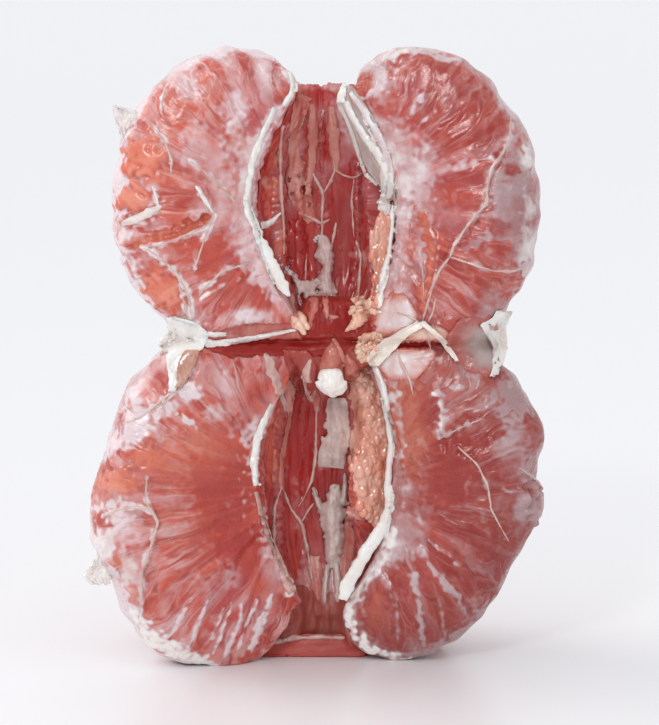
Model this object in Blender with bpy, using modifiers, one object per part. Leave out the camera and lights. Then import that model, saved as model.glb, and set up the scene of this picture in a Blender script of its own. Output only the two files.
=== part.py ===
"""A peeled grapefruit, pulled open into two halves that still hang together at the pole between them.

It stands on one half, with the other half above it. Each half is a fan of segments round an upright
hollow, open towards -Y. Metres, +Z up. The origin is under the middle of the object, on the surface it
stands on.
"""

import math
from collections import namedtuple

import bmesh
import bpy
from mathutils import Vector, noise

# Driving dimensions, in metres and degrees
AXIS = Vector((0.0036, -0.0148, 0.0))  # where the upright axis of both halves meets the ground
SEAM_Z = 0.0872  # height of the seam between the halves
SEAM_WAVE = 0.0010  # how far the seam rises and falls
GAP = 0.0003  # kept between neighbouring pieces
FILLET = 0.0009  # rounds the edge of each flat spot
TAPER = 2.2, 0.60  # how a segment's depth shrinks towards its tips
BACK_ROUNDNESS = 0.30  # how round the back of a segment is: 1 is round, 0 is square
CORNER_ROUNDNESS = 0.58  # the same for the corner of a segment's back beside the opening
EDGE_ROUNDNESS = 0.70  # the same for its thin inner edge
RIM_HEIGHT = 0.0011  # the membrane's raised edge along the opening
RIM_TURN = 2.72  # where it runs round the cross-section, in radians from the back of the segment
LUMP_SIZE = 0.014  # spacing of the soft lumps in a segment's outline
LUMP_SHARE = 0.050  # their height, as a share of the segment's depth
PITH_THICKNESS = 0.0016
STRAND_RADIUS = 0.0009
STRAND_STANDOFF = 0.0030
FLAP_THICKNESS = 0.0008
FLAP_STANDOFF = 0.0006

# One half of the fruit: the height of its middle, how far its tips stand from the axis and from the middle,
# how much its segments swell beyond their tips below and above the middle, and what is below and above it
Half = namedtuple("Half", "name middle_z tip_radius tip_height swell_low swell_high floor ceiling")
LOWER = Half("lower", 0.0470, 0.0080, 0.0335, 1.50, 1.00, "ground", "seam")
UPPER = Half("upper", 0.1225, 0.0078, 0.0318, 1.00, 1.15, "seam", None)

# A segment: the azimuths that it fills, in degrees from +X towards the back, how far its inner edge and its
# back stand from the axis at mid-height and lean out towards the top, its height above and below the middle,
# and the bulge of the side at the opening
Segment = namedtuple("Segment", "start end inner outer lean_in lean_out top bottom bulge")
LOWER_SEGMENTS = (
    Segment(-10, 22, 0.0180, 0.0568, 0.10, 0.12, 1.00, 0.985, -0.0044),
    Segment(22, 48, 0.0070, 0.0535, 0.05, 0.05, 0.97, 1.03, 0),
    Segment(48, 74, 0.0135, 0.0510, 0, 0, 0.96, 1.09, 0),
    Segment(74, 102, 0.0140, 0.0500, 0, 0, 0.96, 1.09, 0),
    Segment(102, 130, 0.0140, 0.0515, 0, 0, 0.96, 1.09, 0),
    Segment(130, 162, 0.0145, 0.0550, 0, 0, 0.98, 1.06, 0),
    Segment(162, 199, 0.0168, 0.0622, 0.05, -0.05, 1.00, 0.97, 0.0046),
)
UPPER_SEGMENTS = (
    Segment(-12, 21, 0.0180, 0.0562, -0.07, 0, 1.00, 1.00, -0.0042),
    Segment(21, 46, 0.0125, 0.0520, -0.05, 0, 0.90, 1.00, 0),
    Segment(46, 67, 0.0138, 0.0495, 0, 0, 0.84, 1.00, 0),
    Segment(67, 86.5, 0.0145, 0.0485, 0, 0, 0.80, 1.00, 0),
    Segment(86.5, 108, 0.0142, 0.0490, 0, 0, 0.81, 1.00, 0),
    Segment(108, 132, 0.0140, 0.0500, 0, 0, 0.84, 1.00, 0),
    Segment(132, 159, 0.0138, 0.0525, 0, 0.02, 0.90, 1.00, 0),
    Segment(159, 194, 0.0185, 0.0564, 0, 0.03, 1.00, 1.00, 0.0044),
)
END_SEGMENT_GRID = (26, 22)  # faces round and along the four segments beside the openings
BACK_SEGMENT_GRID = (16, 18)

FLESH = (0.78, 0.25, 0.19)
PULP = (0.70, 0.13, 0.09)
PITH = (0.93, 0.88, 0.82)


def clear_scene():
    for old in list(bpy.data.objects):
        bpy.data.objects.remove(old, do_unlink=True)


def make_material(name, colour, roughness):
    material = bpy.data.materials.new(name)
    material.use_nodes = True
    shader = material.node_tree.nodes["Principled BSDF"]
    shader.inputs["Base Color"].default_value = (*colour, 1)
    shader.inputs["Roughness"].default_value = roughness
    shader.inputs["Metallic"].default_value = 0
    return material


def smooth_max(a, b, width):
    """The larger of a and b, with a fillet where they are closer than width and exact beyond it."""
    h = max(width - abs(a - b), 0) / width
    return max(a, b) + h * h * width / 4


def seam_height(x, y):
    """The wavy surface on which the upper half sits."""
    return SEAM_Z + SEAM_WAVE * math.sin(x / 0.014 + 0.6) * math.cos(y / 0.019)


def press(point, half):
    """Flattens a point where its half rests on the ground or presses on the other half."""
    z = point.z
    seam = seam_height(point.x, point.y)
    if half.floor == "ground":
        z = smooth_max(z, 0, FILLET)
    else:
        z = smooth_max(z, seam + GAP / 2, FILLET)
    if half.ceiling == "seam":
        z = -smooth_max(-z, GAP / 2 - seam, FILLET)
    return Vector((point.x, point.y, z))


def outline_point(half, segment, along, across):
    """A point of the upright D that a segment fills, as (r, z) from the axis and the middle of its half.
    Along runs from -1 at the lower tip to 1 at the upper one, and across from -1 at the inner edge to 1 at
    the back."""
    turn = math.radians(90) * along
    middle = (segment.inner + segment.outer) / 2
    depth = (segment.outer - segment.inner) / 2 * (1 - abs(along) ** TAPER[0]) ** TAPER[1]
    swell = half.swell_high if turn > 0 else half.swell_low
    swell = 1 + (swell - 1) * max(across, 0)
    r = half.tip_radius + (middle - half.tip_radius + depth * across) * math.cos(turn)
    z = (half.tip_height + depth * across * swell) * math.sin(turn)
    z *= segment.top if z > 0 else segment.bottom
    lump = noise.noise(Vector((r, segment.start * LUMP_SIZE, z + half.middle_z)) / LUMP_SIZE)
    lean = segment.lean_in + (segment.lean_out - segment.lean_in) * (across + 1) / 2
    r = r * (1 + LUMP_SHARE * lump * max(across, 0)) + lean * z
    return max(r, half.tip_radius / 2), z


def segment_point(half, segment, along, around):
    """A point of a segment's skin. Around is 0 on its back and pi on its thin inner edge."""
    middle_azimuth = math.radians(segment.start + segment.end) / 2
    half_wedge = math.radians(segment.end - segment.start) / 2
    direction = Vector((math.cos(middle_azimuth), math.sin(middle_azimuth), 0))
    sideways = Vector((-direction.y, direction.x, 0))
    at_opening = segment.bulge * math.sin(around) > 0

    r, z = outline_point(half, segment, along, math.cos(around))
    wall = r * math.tan(half_wedge) - GAP / 2
    end = math.sqrt(max(1 - abs(along) ** 6, 0))
    roundness = EDGE_ROUNDNESS
    if math.cos(around) > 0:
        roundness = CORNER_ROUNDNESS if at_opening else BACK_ROUNDNESS
    side = wall * end * math.copysign(abs(math.sin(around)) ** roundness, math.sin(around))
    if at_opening:
        rim = RIM_HEIGHT * math.exp(-(((abs(around) - RIM_TURN) / 0.13) ** 2)) * (1 - along**8)
        side += segment.bulge * math.sin(around) ** 2 * (1 - along * along)
        side += math.copysign(rim, segment.bulge)
    point = AXIS + direction * r + sideways * side + Vector((0, 0, half.middle_z + z))
    return press(point, half)


def add_object(name, mesh, material, collection):
    mesh.materials.append(material)
    made = bpy.data.objects.new(name, mesh)
    collection.objects.link(made)
    mesh.shade_smooth()
    return made


def make_segment(name, half, segment, grid, material, collection):
    """A segment is a ball whose poles become its tips and whose points are moved to its skin."""
    bm = bmesh.new()
    bmesh.ops.create_uvsphere(bm, u_segments=grid[0], v_segments=grid[1], radius=1)
    for vertex in bm.verts:
        along = max(-1, min(1, vertex.co.z))
        around = math.atan2(vertex.co.y, vertex.co.x)
        vertex.co = segment_point(half, segment, along, around)
    bmesh.ops.remove_doubles(bm, verts=bm.verts, dist=0.00002)
    bmesh.ops.recalc_face_normals(bm, faces=bm.faces)
    mesh = bpy.data.meshes.new(name)
    bm.to_mesh(mesh)
    bm.free()
    return add_object(name, mesh, material, collection)


def make_sheet(name, rows, thickness, material, collection):
    """A scrap of pith or membrane: a grid laid through rows of points, given a thickness."""
    count = len(rows[0])
    bm = bmesh.new()
    bmesh.ops.create_grid(bm, x_segments=count - 1, y_segments=len(rows) - 1, size=1)
    ordered = sorted(bm.verts, key=lambda v: (round(v.co.y, 4), round(v.co.x, 4)))
    for i, vertex in enumerate(ordered):
        vertex.co = rows[i // count][i % count]
    mesh = bpy.data.meshes.new(name)
    bm.to_mesh(mesh)
    bm.free()
    made = add_object(name, mesh, material, collection)
    solidify = made.modifiers.new("thickness", "SOLIDIFY")
    solidify.thickness = thickness
    solidify.offset = 0
    return made


def wall_radius(half, z):
    """How far the back wall of a hollow stands from the axis, at height z from the middle of its half."""
    segment = (LOWER_SEGMENTS if half is LOWER else UPPER_SEGMENTS)[3]
    steps = 60
    edge = [outline_point(half, segment, i / steps, -1) for i in range(steps + 1)]
    return min(edge, key=lambda point: abs(point[1] - abs(z)))[0]


def make_core_shred(name, half, low, high, x_middle, width, seed, material, collection):
    """A ragged strip of the white core, left standing on the back wall of a hollow."""
    row_count, column_count = 9, 5
    rows = []
    for i in range(row_count):
        share = i / (row_count - 1)
        z = low + (high - low) * share
        ragged = 0.75 + 0.5 * noise.noise(Vector((seed, z / 0.004, 0)))
        edge = math.sin(math.pi * (0.08 + 0.84 * share)) ** 0.5
        row = []
        for j in range(column_count):
            across = (j / (column_count - 1) - 0.5) * width * ragged * edge
            x = x_middle + across + 0.0008 * noise.noise(Vector((z / 0.006, seed, 1)))
            wall = wall_radius(half, z - half.middle_z)
            y = math.sqrt(max(wall * wall - x * x, 0)) - PITH_THICKNESS - 0.0012
            end = 0.0012 * noise.noise(Vector((x / 0.002, seed, 5))) if i in (0, row_count - 1) else 0
            row.append(Vector((AXIS.x + x, AXIS.y + y, z + end)))
        rows.append(row)
    return make_sheet(name, rows, PITH_THICKNESS, material, collection)


def make_lump(name, middle, size, roughness, seed, material, collection):
    """An irregular lump of pulp or pith."""
    bm = bmesh.new()
    bmesh.ops.create_icosphere(bm, subdivisions=3, radius=1)
    for vertex in bm.verts:
        direction = vertex.co.normalized()
        bump = 1 + roughness * noise.noise(direction * 1.9 + Vector((seed, seed, seed)))
        vertex.co = middle + Vector([direction[i] * size[i] * bump for i in range(3)])
    mesh = bpy.data.meshes.new(name)
    bm.to_mesh(mesh)
    bm.free()
    return add_object(name, mesh, material, collection)


def make_seam_strand(name, azimuth, r_range, material, collection):
    """A rope of pith along the seam, in front of one pair of end segments."""
    steps = 20
    direction = Vector((math.cos(azimuth), math.sin(azimuth), 0))
    forward = Vector((math.sin(azimuth), -math.cos(azimuth), 0))
    forward *= math.copysign(1, -forward.y)
    curve = bpy.data.curves.new(name, "CURVE")
    curve.dimensions = "3D"
    curve.bevel_depth = STRAND_RADIUS
    curve.bevel_resolution = 1
    curve.use_fill_caps = True
    spline = curve.splines.new("POLY")
    spline.points.add(steps)
    for i, point in enumerate(spline.points):
        share = i / steps
        r = r_range[0] + (r_range[1] - r_range[0]) * share
        standoff = STRAND_STANDOFF * (0.7 + 0.3 * math.sin(math.pi * share))
        place = AXIS + direction * r + forward * standoff
        place.z = seam_height(place.x, place.y) + 0.0006 * noise.noise(Vector((r / 0.006, 0, 3)))
        point.co = (*place, 1)
        point.radius = 0.75 + 0.5 * share + 0.3 * noise.noise(Vector((r / 0.005, 0, 9)))
    curve.materials.append(material)
    made = bpy.data.objects.new(name, curve)
    collection.objects.link(made)
    return made


def make_waist_flap(name, azimuth, r_range, spread, seed, material, collection):
    """A crumpled scrap of pith that stands in the waist between the halves and fans outwards."""
    direction = Vector((math.cos(azimuth), math.sin(azimuth), 0))
    sideways = Vector((-direction.y, direction.x, 0))
    row_count, column_count = 7, 7
    rows = []
    for i in range(row_count):
        share = i / (row_count - 1)
        r = r_range[0] + (r_range[1] - r_range[0]) * share
        row = []
        for j in range(column_count):
            height = (j / (column_count - 1) - 0.5) * 2
            ragged = 0.0014 * share * noise.noise(Vector((seed, height * 2.4, 0)))
            crumple = 0.0022 * share * noise.noise(Vector((seed + 3, height * 1.6, share * 2)))
            place = AXIS + direction * (r + ragged) + sideways * crumple
            place.z = seam_height(place.x, place.y) + height * (0.0006 + spread * share**1.5)
            row.append(place)
        rows.append(row)
    return make_sheet(name, rows, PITH_THICKNESS, material, collection)


def make_flap(name, half, segment, along_range, around, length, lean, material, collection):
    """A scrap of skin that has come away from a segment's outline, with a ragged free edge."""
    row_count, column_count = 5, 7
    rows = []
    for i in range(row_count):
        lift = i / (row_count - 1)
        row = []
        for j in range(column_count):
            share = j / (column_count - 1)
            along = along_range[0] + (along_range[1] - along_range[0]) * share
            skin = segment_point(half, segment, along, around)
            middle = AXIS + Vector((0, 0, half.middle_z))
            outward = (skin - middle).normalized()
            ragged = 0.45 + 0.55 * math.sin(math.pi * share)
            ragged += 0.3 * noise.noise(Vector((share * 3, lift, along)))
            reach = FLAP_STANDOFF + length * lift * ragged
            row.append(skin + outward * reach + lean * length * lift)
        rows.append(row)
    return make_sheet(name, rows, FLAP_THICKNESS, material, collection)


def make_half(half, segments, flesh, collection):
    for i, segment in enumerate(segments):
        grid = END_SEGMENT_GRID if segment.bulge else BACK_SEGMENT_GRID
        make_segment(f"{half.name}_segment_{i + 1}", half, segment, grid, flesh, collection)


def main():
    clear_scene()
    collection = bpy.data.collections.new("grapefruit")
    bpy.context.scene.collection.children.link(collection)
    flesh = make_material("segment flesh", FLESH, 0.38)
    pulp = make_material("torn pulp", PULP, 0.45)
    pith = make_material("white pith", PITH, 0.8)

    make_half(LOWER, LOWER_SEGMENTS, flesh, collection)
    make_half(UPPER, UPPER_SEGMENTS, flesh, collection)
    joint_middle = AXIS + Vector((0, 0.0005, SEAM_Z))
    make_lump("pole_joint", joint_middle, (0.0068, 0.0066, 0.0112), 0.15, 2, pulp, collection)

    make_core_shred("lower_core_top", LOWER, 0.0525, 0.0765, 0.0022, 0.0085, 3, pith, collection)
    make_core_shred("lower_core_bottom", LOWER, 0.0200, 0.0470, 0.0033, 0.0060, 7, pith, collection)
    make_core_shred("upper_core", UPPER, 0.0985, 0.1150, -0.0020, 0.0055, 11, pith, collection)

    make_seam_strand("seam_pith", math.radians(197), (0.0100, 0.0430), pith, collection)
    make_waist_flap("right_waist_pith", math.radians(8), (0.0425, 0.0515), 0.0064, 4, pith, collection)
    make_waist_flap("left_waist_pith", math.radians(181), (0.0412, 0.0468), 0.0044, 8, pith, collection)

    up, down = Vector((0, 0, 0.4)), Vector((0, 0, -0.3))
    left_end = UPPER_SEGMENTS[-1]
    make_flap("upper_left_flap", UPPER, left_end, (0.20, 0.36), 0.30, 0.0042, up, pith, collection)
    left_end = LOWER_SEGMENTS[-1]
    make_flap("lower_left_flap", LOWER, left_end, (-0.26, -0.10), 0.30, 0.0036, down, pith, collection)


main()
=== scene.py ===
import math
import random
from collections import namedtuple

import bmesh
import bpy
import numpy as np
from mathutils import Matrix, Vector, noise
from mathutils.bvhtree import BVHTree


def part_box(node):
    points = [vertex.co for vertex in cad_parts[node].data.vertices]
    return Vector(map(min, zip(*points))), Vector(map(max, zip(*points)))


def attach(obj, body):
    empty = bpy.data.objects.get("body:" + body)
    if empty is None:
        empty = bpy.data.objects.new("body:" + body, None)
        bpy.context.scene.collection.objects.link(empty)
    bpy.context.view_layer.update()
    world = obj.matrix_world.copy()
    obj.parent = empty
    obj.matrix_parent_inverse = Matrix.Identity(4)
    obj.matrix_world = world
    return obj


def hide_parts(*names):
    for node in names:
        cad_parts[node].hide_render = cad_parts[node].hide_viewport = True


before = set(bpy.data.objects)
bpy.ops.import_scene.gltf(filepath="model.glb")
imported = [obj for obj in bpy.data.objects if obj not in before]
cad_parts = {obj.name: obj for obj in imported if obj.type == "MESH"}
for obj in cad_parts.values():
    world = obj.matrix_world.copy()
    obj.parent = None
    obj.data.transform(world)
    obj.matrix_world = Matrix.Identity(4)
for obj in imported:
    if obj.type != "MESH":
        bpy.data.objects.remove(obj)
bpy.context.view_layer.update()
print("solids loaded:", len(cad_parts))

# the camera
view = {
    "target": Vector((0.0043, -0.0187, 0.0818)),
    "elevation": 8.0,
    "distance": 0.80,
    "pixel": 0.000265,  # metres to a pixel of the picture at the target
    "middle": (329.5, 362.5),
    "height": 725,
}
tilt = math.radians(view["elevation"])
sight = Vector((0, math.cos(tilt), -math.sin(tilt)))
upward = Vector((0, math.sin(tilt), math.cos(tilt)))
eye = view["target"] - sight * view["distance"]

cameraData = bpy.data.cameras.new("camera")
cameraData.sensor_fit = "VERTICAL"
cameraData.sensor_height = 36
cameraData.lens = 36 * view["distance"] / (view["pixel"] * view["height"])
camera = bpy.data.objects.new("camera", cameraData)
camera.location = eye
camera.rotation_euler = sight.to_track_quat("-Z", "Y").to_euler()
bpy.context.scene.collection.objects.link(camera)
bpy.context.scene.camera = camera


def pictureSpots(points):
    # where points show in the picture, in its pixels
    away = points - np.array(eye)
    scale = view["distance"] / view["pixel"] / (away @ np.array(sight))
    return np.stack([view["middle"][0] + scale * away[:, 0],
                     view["middle"][1] - scale * (away @ np.array(upward))], axis=1)


def sightLine(spot):
    # the direction from the camera through a spot of the picture
    across = (spot[0] - view["middle"][0]) * view["pixel"] / view["distance"]
    rise = (view["middle"][1] - spot[1]) * view["pixel"] / view["distance"]
    return (sight + Vector((1, 0, 0)) * across + upward * rise).normalized()


# the fruit's measures, the same as in its solids
fruit = {
    "axis": Vector((0.0036, -0.0148, 0.0)),
    "seamZ": 0.0872, "seamWave": 0.0010, "seamSize": (0.014, 0.019), "seamShift": 0.6,
    "gap": 0.0003, "fillet": 0.0009,
    "taper": (2.2, 0.60),
    "backRoundness": 0.30, "cornerRoundness": 0.58, "edgeRoundness": 0.70,
    "rimHeight": 0.0011, "rimTurn": 2.72, "rimWidth": 0.13,
    "lumpSize": 0.014, "lumpShare": 0.050,
}
lower = {"name": "lower", "middleZ": 0.0470, "tipRadius": 0.0080, "tipHeight": 0.0335,
         "swellLow": 1.50, "swellHigh": 1.00, "onGround": True}
upper = {"name": "upper", "middleZ": 0.1225, "tipRadius": 0.0078, "tipHeight": 0.0318,
         "swellLow": 1.00, "swellHigh": 1.15, "onGround": False}
# azimuth from and to, inner and outer radius, lean of both, height above and below, bulge at the opening
Segment = namedtuple("Segment", "start end inner outer leanIn leanOut top bottom bulge")
lowerSegments = [Segment(*measures) for measures in (
    (-10, 22, 0.0180, 0.0568, 0.10, 0.12, 1.00, 0.985, -0.0044),
    (22, 48, 0.0070, 0.0535, 0.05, 0.05, 0.97, 1.03, 0),
    (48, 74, 0.0135, 0.0510, 0, 0, 0.96, 1.09, 0),
    (74, 102, 0.0140, 0.0500, 0, 0, 0.96, 1.09, 0),
    (102, 130, 0.0140, 0.0515, 0, 0, 0.96, 1.09, 0),
    (130, 162, 0.0145, 0.0550, 0, 0, 0.98, 1.06, 0),
    (162, 199, 0.0168, 0.0622, 0.05, -0.05, 1.00, 0.97, 0.0046),
)]
upperSegments = [Segment(*measures) for measures in (
    (-12, 21, 0.0180, 0.0562, -0.07, 0, 1.00, 1.00, -0.0042),
    (21, 46, 0.0125, 0.0520, -0.05, 0, 0.90, 1.00, 0),
    (46, 67, 0.0138, 0.0495, 0, 0, 0.84, 1.00, 0),
    (67, 86.5, 0.0145, 0.0485, 0, 0, 0.80, 1.00, 0),
    (86.5, 108, 0.0142, 0.0490, 0, 0, 0.81, 1.00, 0),
    (108, 132, 0.0140, 0.0500, 0, 0, 0.84, 1.00, 0),
    (132, 159, 0.0138, 0.0525, 0, 0.02, 0.90, 1.00, 0),
    (159, 194, 0.0185, 0.0564, 0, 0.03, 1.00, 1.00, 0.0044),
)]


def smoothMax(a, b, width):
    h = max(width - abs(a - b), 0) / width
    return max(a, b) + h * h * width / 4


def seamHeight(x, y):
    wide, deep = fruit["seamSize"]
    return fruit["seamZ"] + fruit["seamWave"] * math.sin(x / wide + fruit["seamShift"]) * math.cos(y / deep)


def press(point, half):
    # flat where the fruit stands on the ground and where the halves lean on each other
    z = point.z
    seam = seamHeight(point.x, point.y)
    if half["onGround"]:
        z = smoothMax(z, 0, fruit["fillet"])
        z = -smoothMax(-z, fruit["gap"] / 2 - seam, fruit["fillet"])
    else:
        z = smoothMax(z, seam + fruit["gap"] / 2, fruit["fillet"])
    return Vector((point.x, point.y, z))


def outlinePoint(half, segment, along, across):
    start, end, inner, outer, leanIn, leanOut, top, bottom, bulge = segment
    turn = math.radians(90) * along
    middle = (inner + outer) / 2
    depth = (outer - inner) / 2 * (1 - abs(along) ** fruit["taper"][0]) ** fruit["taper"][1]
    swell = 1 + ((half["swellHigh"] if turn > 0 else half["swellLow"]) - 1) * max(across, 0)
    r = half["tipRadius"] + (middle - half["tipRadius"] + depth * across) * math.cos(turn)
    z = (half["tipHeight"] + depth * across * swell) * math.sin(turn)
    z *= top if z > 0 else bottom
    size = fruit["lumpSize"]
    lump = noise.noise(Vector((r, start * size, z + half["middleZ"])) / size)
    lean = leanIn + (leanOut - leanIn) * (across + 1) / 2
    r = r * (1 + fruit["lumpShare"] * lump * max(across, 0)) + lean * z
    return max(r, half["tipRadius"] / 2), z


def segmentPoint(half, segment, along, around):
    # around is 0 on a segment's back and pi on its thin inner edge
    start, end, bulge = segment.start, segment.end, segment.bulge
    azimuth, halfWedge = math.radians(start + end) / 2, math.radians(end - start) / 2
    direction = Vector((math.cos(azimuth), math.sin(azimuth), 0))
    sideways = Vector((-direction.y, direction.x, 0))
    atOpening = bulge * math.sin(around) > 0
    r, z = outlinePoint(half, segment, along, math.cos(around))
    wall = r * math.tan(halfWedge) - fruit["gap"] / 2
    tip = math.sqrt(max(1 - abs(along) ** 6, 0))
    roundness = fruit["edgeRoundness"]
    if math.cos(around) > 0:
        roundness = fruit["cornerRoundness" if atOpening else "backRoundness"]
    side = wall * tip * math.copysign(abs(math.sin(around)) ** roundness, math.sin(around))
    if atOpening:
        rim = math.exp(-(((abs(around) - fruit["rimTurn"]) / fruit["rimWidth"]) ** 2)) * (1 - along**8)
        side += bulge * math.sin(around) ** 2 * (1 - along * along)
        side += math.copysign(fruit["rimHeight"] * rim, bulge)
    height = Vector((0, 0, half["middleZ"] + z))
    return press(fruit["axis"] + direction * r + sideways * side + height, half)


# the flesh's colours, with a dark red for painted shade and a milky white that painted light also uses
looks = {
    "coral": (0.67, 0.108, 0.064), "ruby": (0.42, 0.040, 0.032), "rose": (0.84, 0.47, 0.40),
    "milkAndLight": (0.83, 0.69, 0.71), "orange": (0.82, 0.30, 0.20), "amber": (0.70, 0.17, 0.10),
    "crimson": (0.36, 0.016, 0.017), "scarlet": (0.50, 0.035, 0.030), "magenta": (0.50, 0.080, 0.095),
    "pith": (0.90, 0.87, 0.83), "dusk": (0.20, 0.030, 0.026),
    "webPale": (0.80, 0.68, 0.66), "ember": (0.56, 0.050, 0.030), "flame": (0.70, 0.13, 0.075),
}


def newMaterial(name):
    material = bpy.data.materials.new(name)
    material.use_nodes = True
    return material, material.node_tree, material.node_tree.nodes["Principled BSDF"]


def setInputs(node, values):
    for name, value in values.items():
        node.inputs[name].default_value = value


def setSocket(tree, socket, value):
    if isinstance(value, bpy.types.NodeSocket):
        tree.links.new(value, socket)
    elif value is not None:
        socket.default_value = (*value, 1) if isinstance(value, tuple) else value


def mixColour(tree, share, first, second):
    # first and second are colours or sockets, share is a number or a socket
    mix = tree.nodes.new("ShaderNodeMix")
    mix.data_type = "RGBA"
    setSocket(tree, mix.inputs[0], share)
    setSocket(tree, mix.inputs[6], first)
    setSocket(tree, mix.inputs[7], second)
    return mix.outputs[2]


def maths(tree, operation, *values):
    node = tree.nodes.new("ShaderNodeMath")
    node.operation = operation
    for socket, value in zip(node.inputs, values):
        setSocket(tree, socket, value)
    return node.outputs[0]


def grain(tree, scale, detail=3.0, vector=None):
    texture = tree.nodes.new("ShaderNodeTexNoise")
    setInputs(texture, {"Scale": scale, "Detail": detail})
    tree.links.new(vector or tree.nodes.new("ShaderNodeTexCoord").outputs["Object"], texture.inputs["Vector"])
    return texture.outputs["Fac"]


def attribute(tree, name):
    node = tree.nodes.new("ShaderNodeAttribute")
    node.attribute_name = name
    return node.outputs["Fac"]


def spread(tree, value, low, high):
    # from 0 at low to 1 at high
    node = tree.nodes.new("ShaderNodeMapRange")
    tree.links.new(value, node.inputs["Value"])
    setInputs(node, {"From Min": low, "From Max": high})
    return node.outputs["Result"]


def addBump(tree, shader, height, strength, distance):
    bump = tree.nodes.new("ShaderNodeBump")
    setInputs(bump, {"Strength": strength, "Distance": distance})
    tree.links.new(height, bump.inputs["Height"])
    tree.links.new(bump.outputs["Normal"], shader.inputs["Normal"])


def times(tree, *values):
    product = values[0]
    for value in values[1:]:
        product = maths(tree, "MULTIPLY", product, value)
    return product


def vectorMaths(tree, operation, *values):
    node = tree.nodes.new("ShaderNodeVectorMath")
    node.operation = operation
    for socket, value in zip(node.inputs, values):
        if isinstance(value, bpy.types.NodeSocket):
            tree.links.new(value, socket)
        else:
            socket.default_value = value
    return node.outputs[0]


def fanSpot(tree):
    # where a point is in the fan of juice sacs, and the same a little disturbed
    fan = tree.nodes.new("ShaderNodeCombineXYZ")
    for socket, name in zip(fan.inputs, ("fanTurn", "fanDepth")):
        tree.links.new(attribute(tree, name), socket)
    drift = tree.nodes.new("ShaderNodeTexNoise")
    drift.noise_dimensions = "2D"
    drift.inputs["Scale"].default_value = 0.45
    tree.links.new(fan.outputs[0], drift.inputs["Vector"])
    return fan.outputs[0], vectorMaths(tree, "MULTIPLY_ADD", drift.outputs["Color"], (3.0, 2.2, 0), fan.outputs[0])


def cells(tree, vector, feature, scale=1.0):
    texture = tree.nodes.new("ShaderNodeTexVoronoi")
    texture.voronoi_dimensions = "2D"
    texture.feature = feature
    texture.inputs["Scale"].default_value = scale
    if feature == "SMOOTH_F1":
        texture.inputs["Smoothness"].default_value = 0.6
    tree.links.new(vector, texture.inputs["Vector"])
    return texture.outputs["Distance" if feature == "DISTANCE_TO_EDGE" else "Color"]


def streaks(tree, fan, stretch, detail):
    return grain(tree, 1.0, detail, vectorMaths(tree, "MULTIPLY", fan, (*stretch, 1)))


# stretches are along and across the fan of juice sacs
fleshLook = {"mottle": 170, "cloud": 65, "fine": 900, "fibre": (2.2, 0.42), "streak": (0.80, 0.17),
             "thread": (0.045, 0.9), "threadCell": 0.22, "glow": 0.25, "glowDepth": 0.002, "bump": 0.32,
             "bumpDepth": 0.0008}


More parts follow.
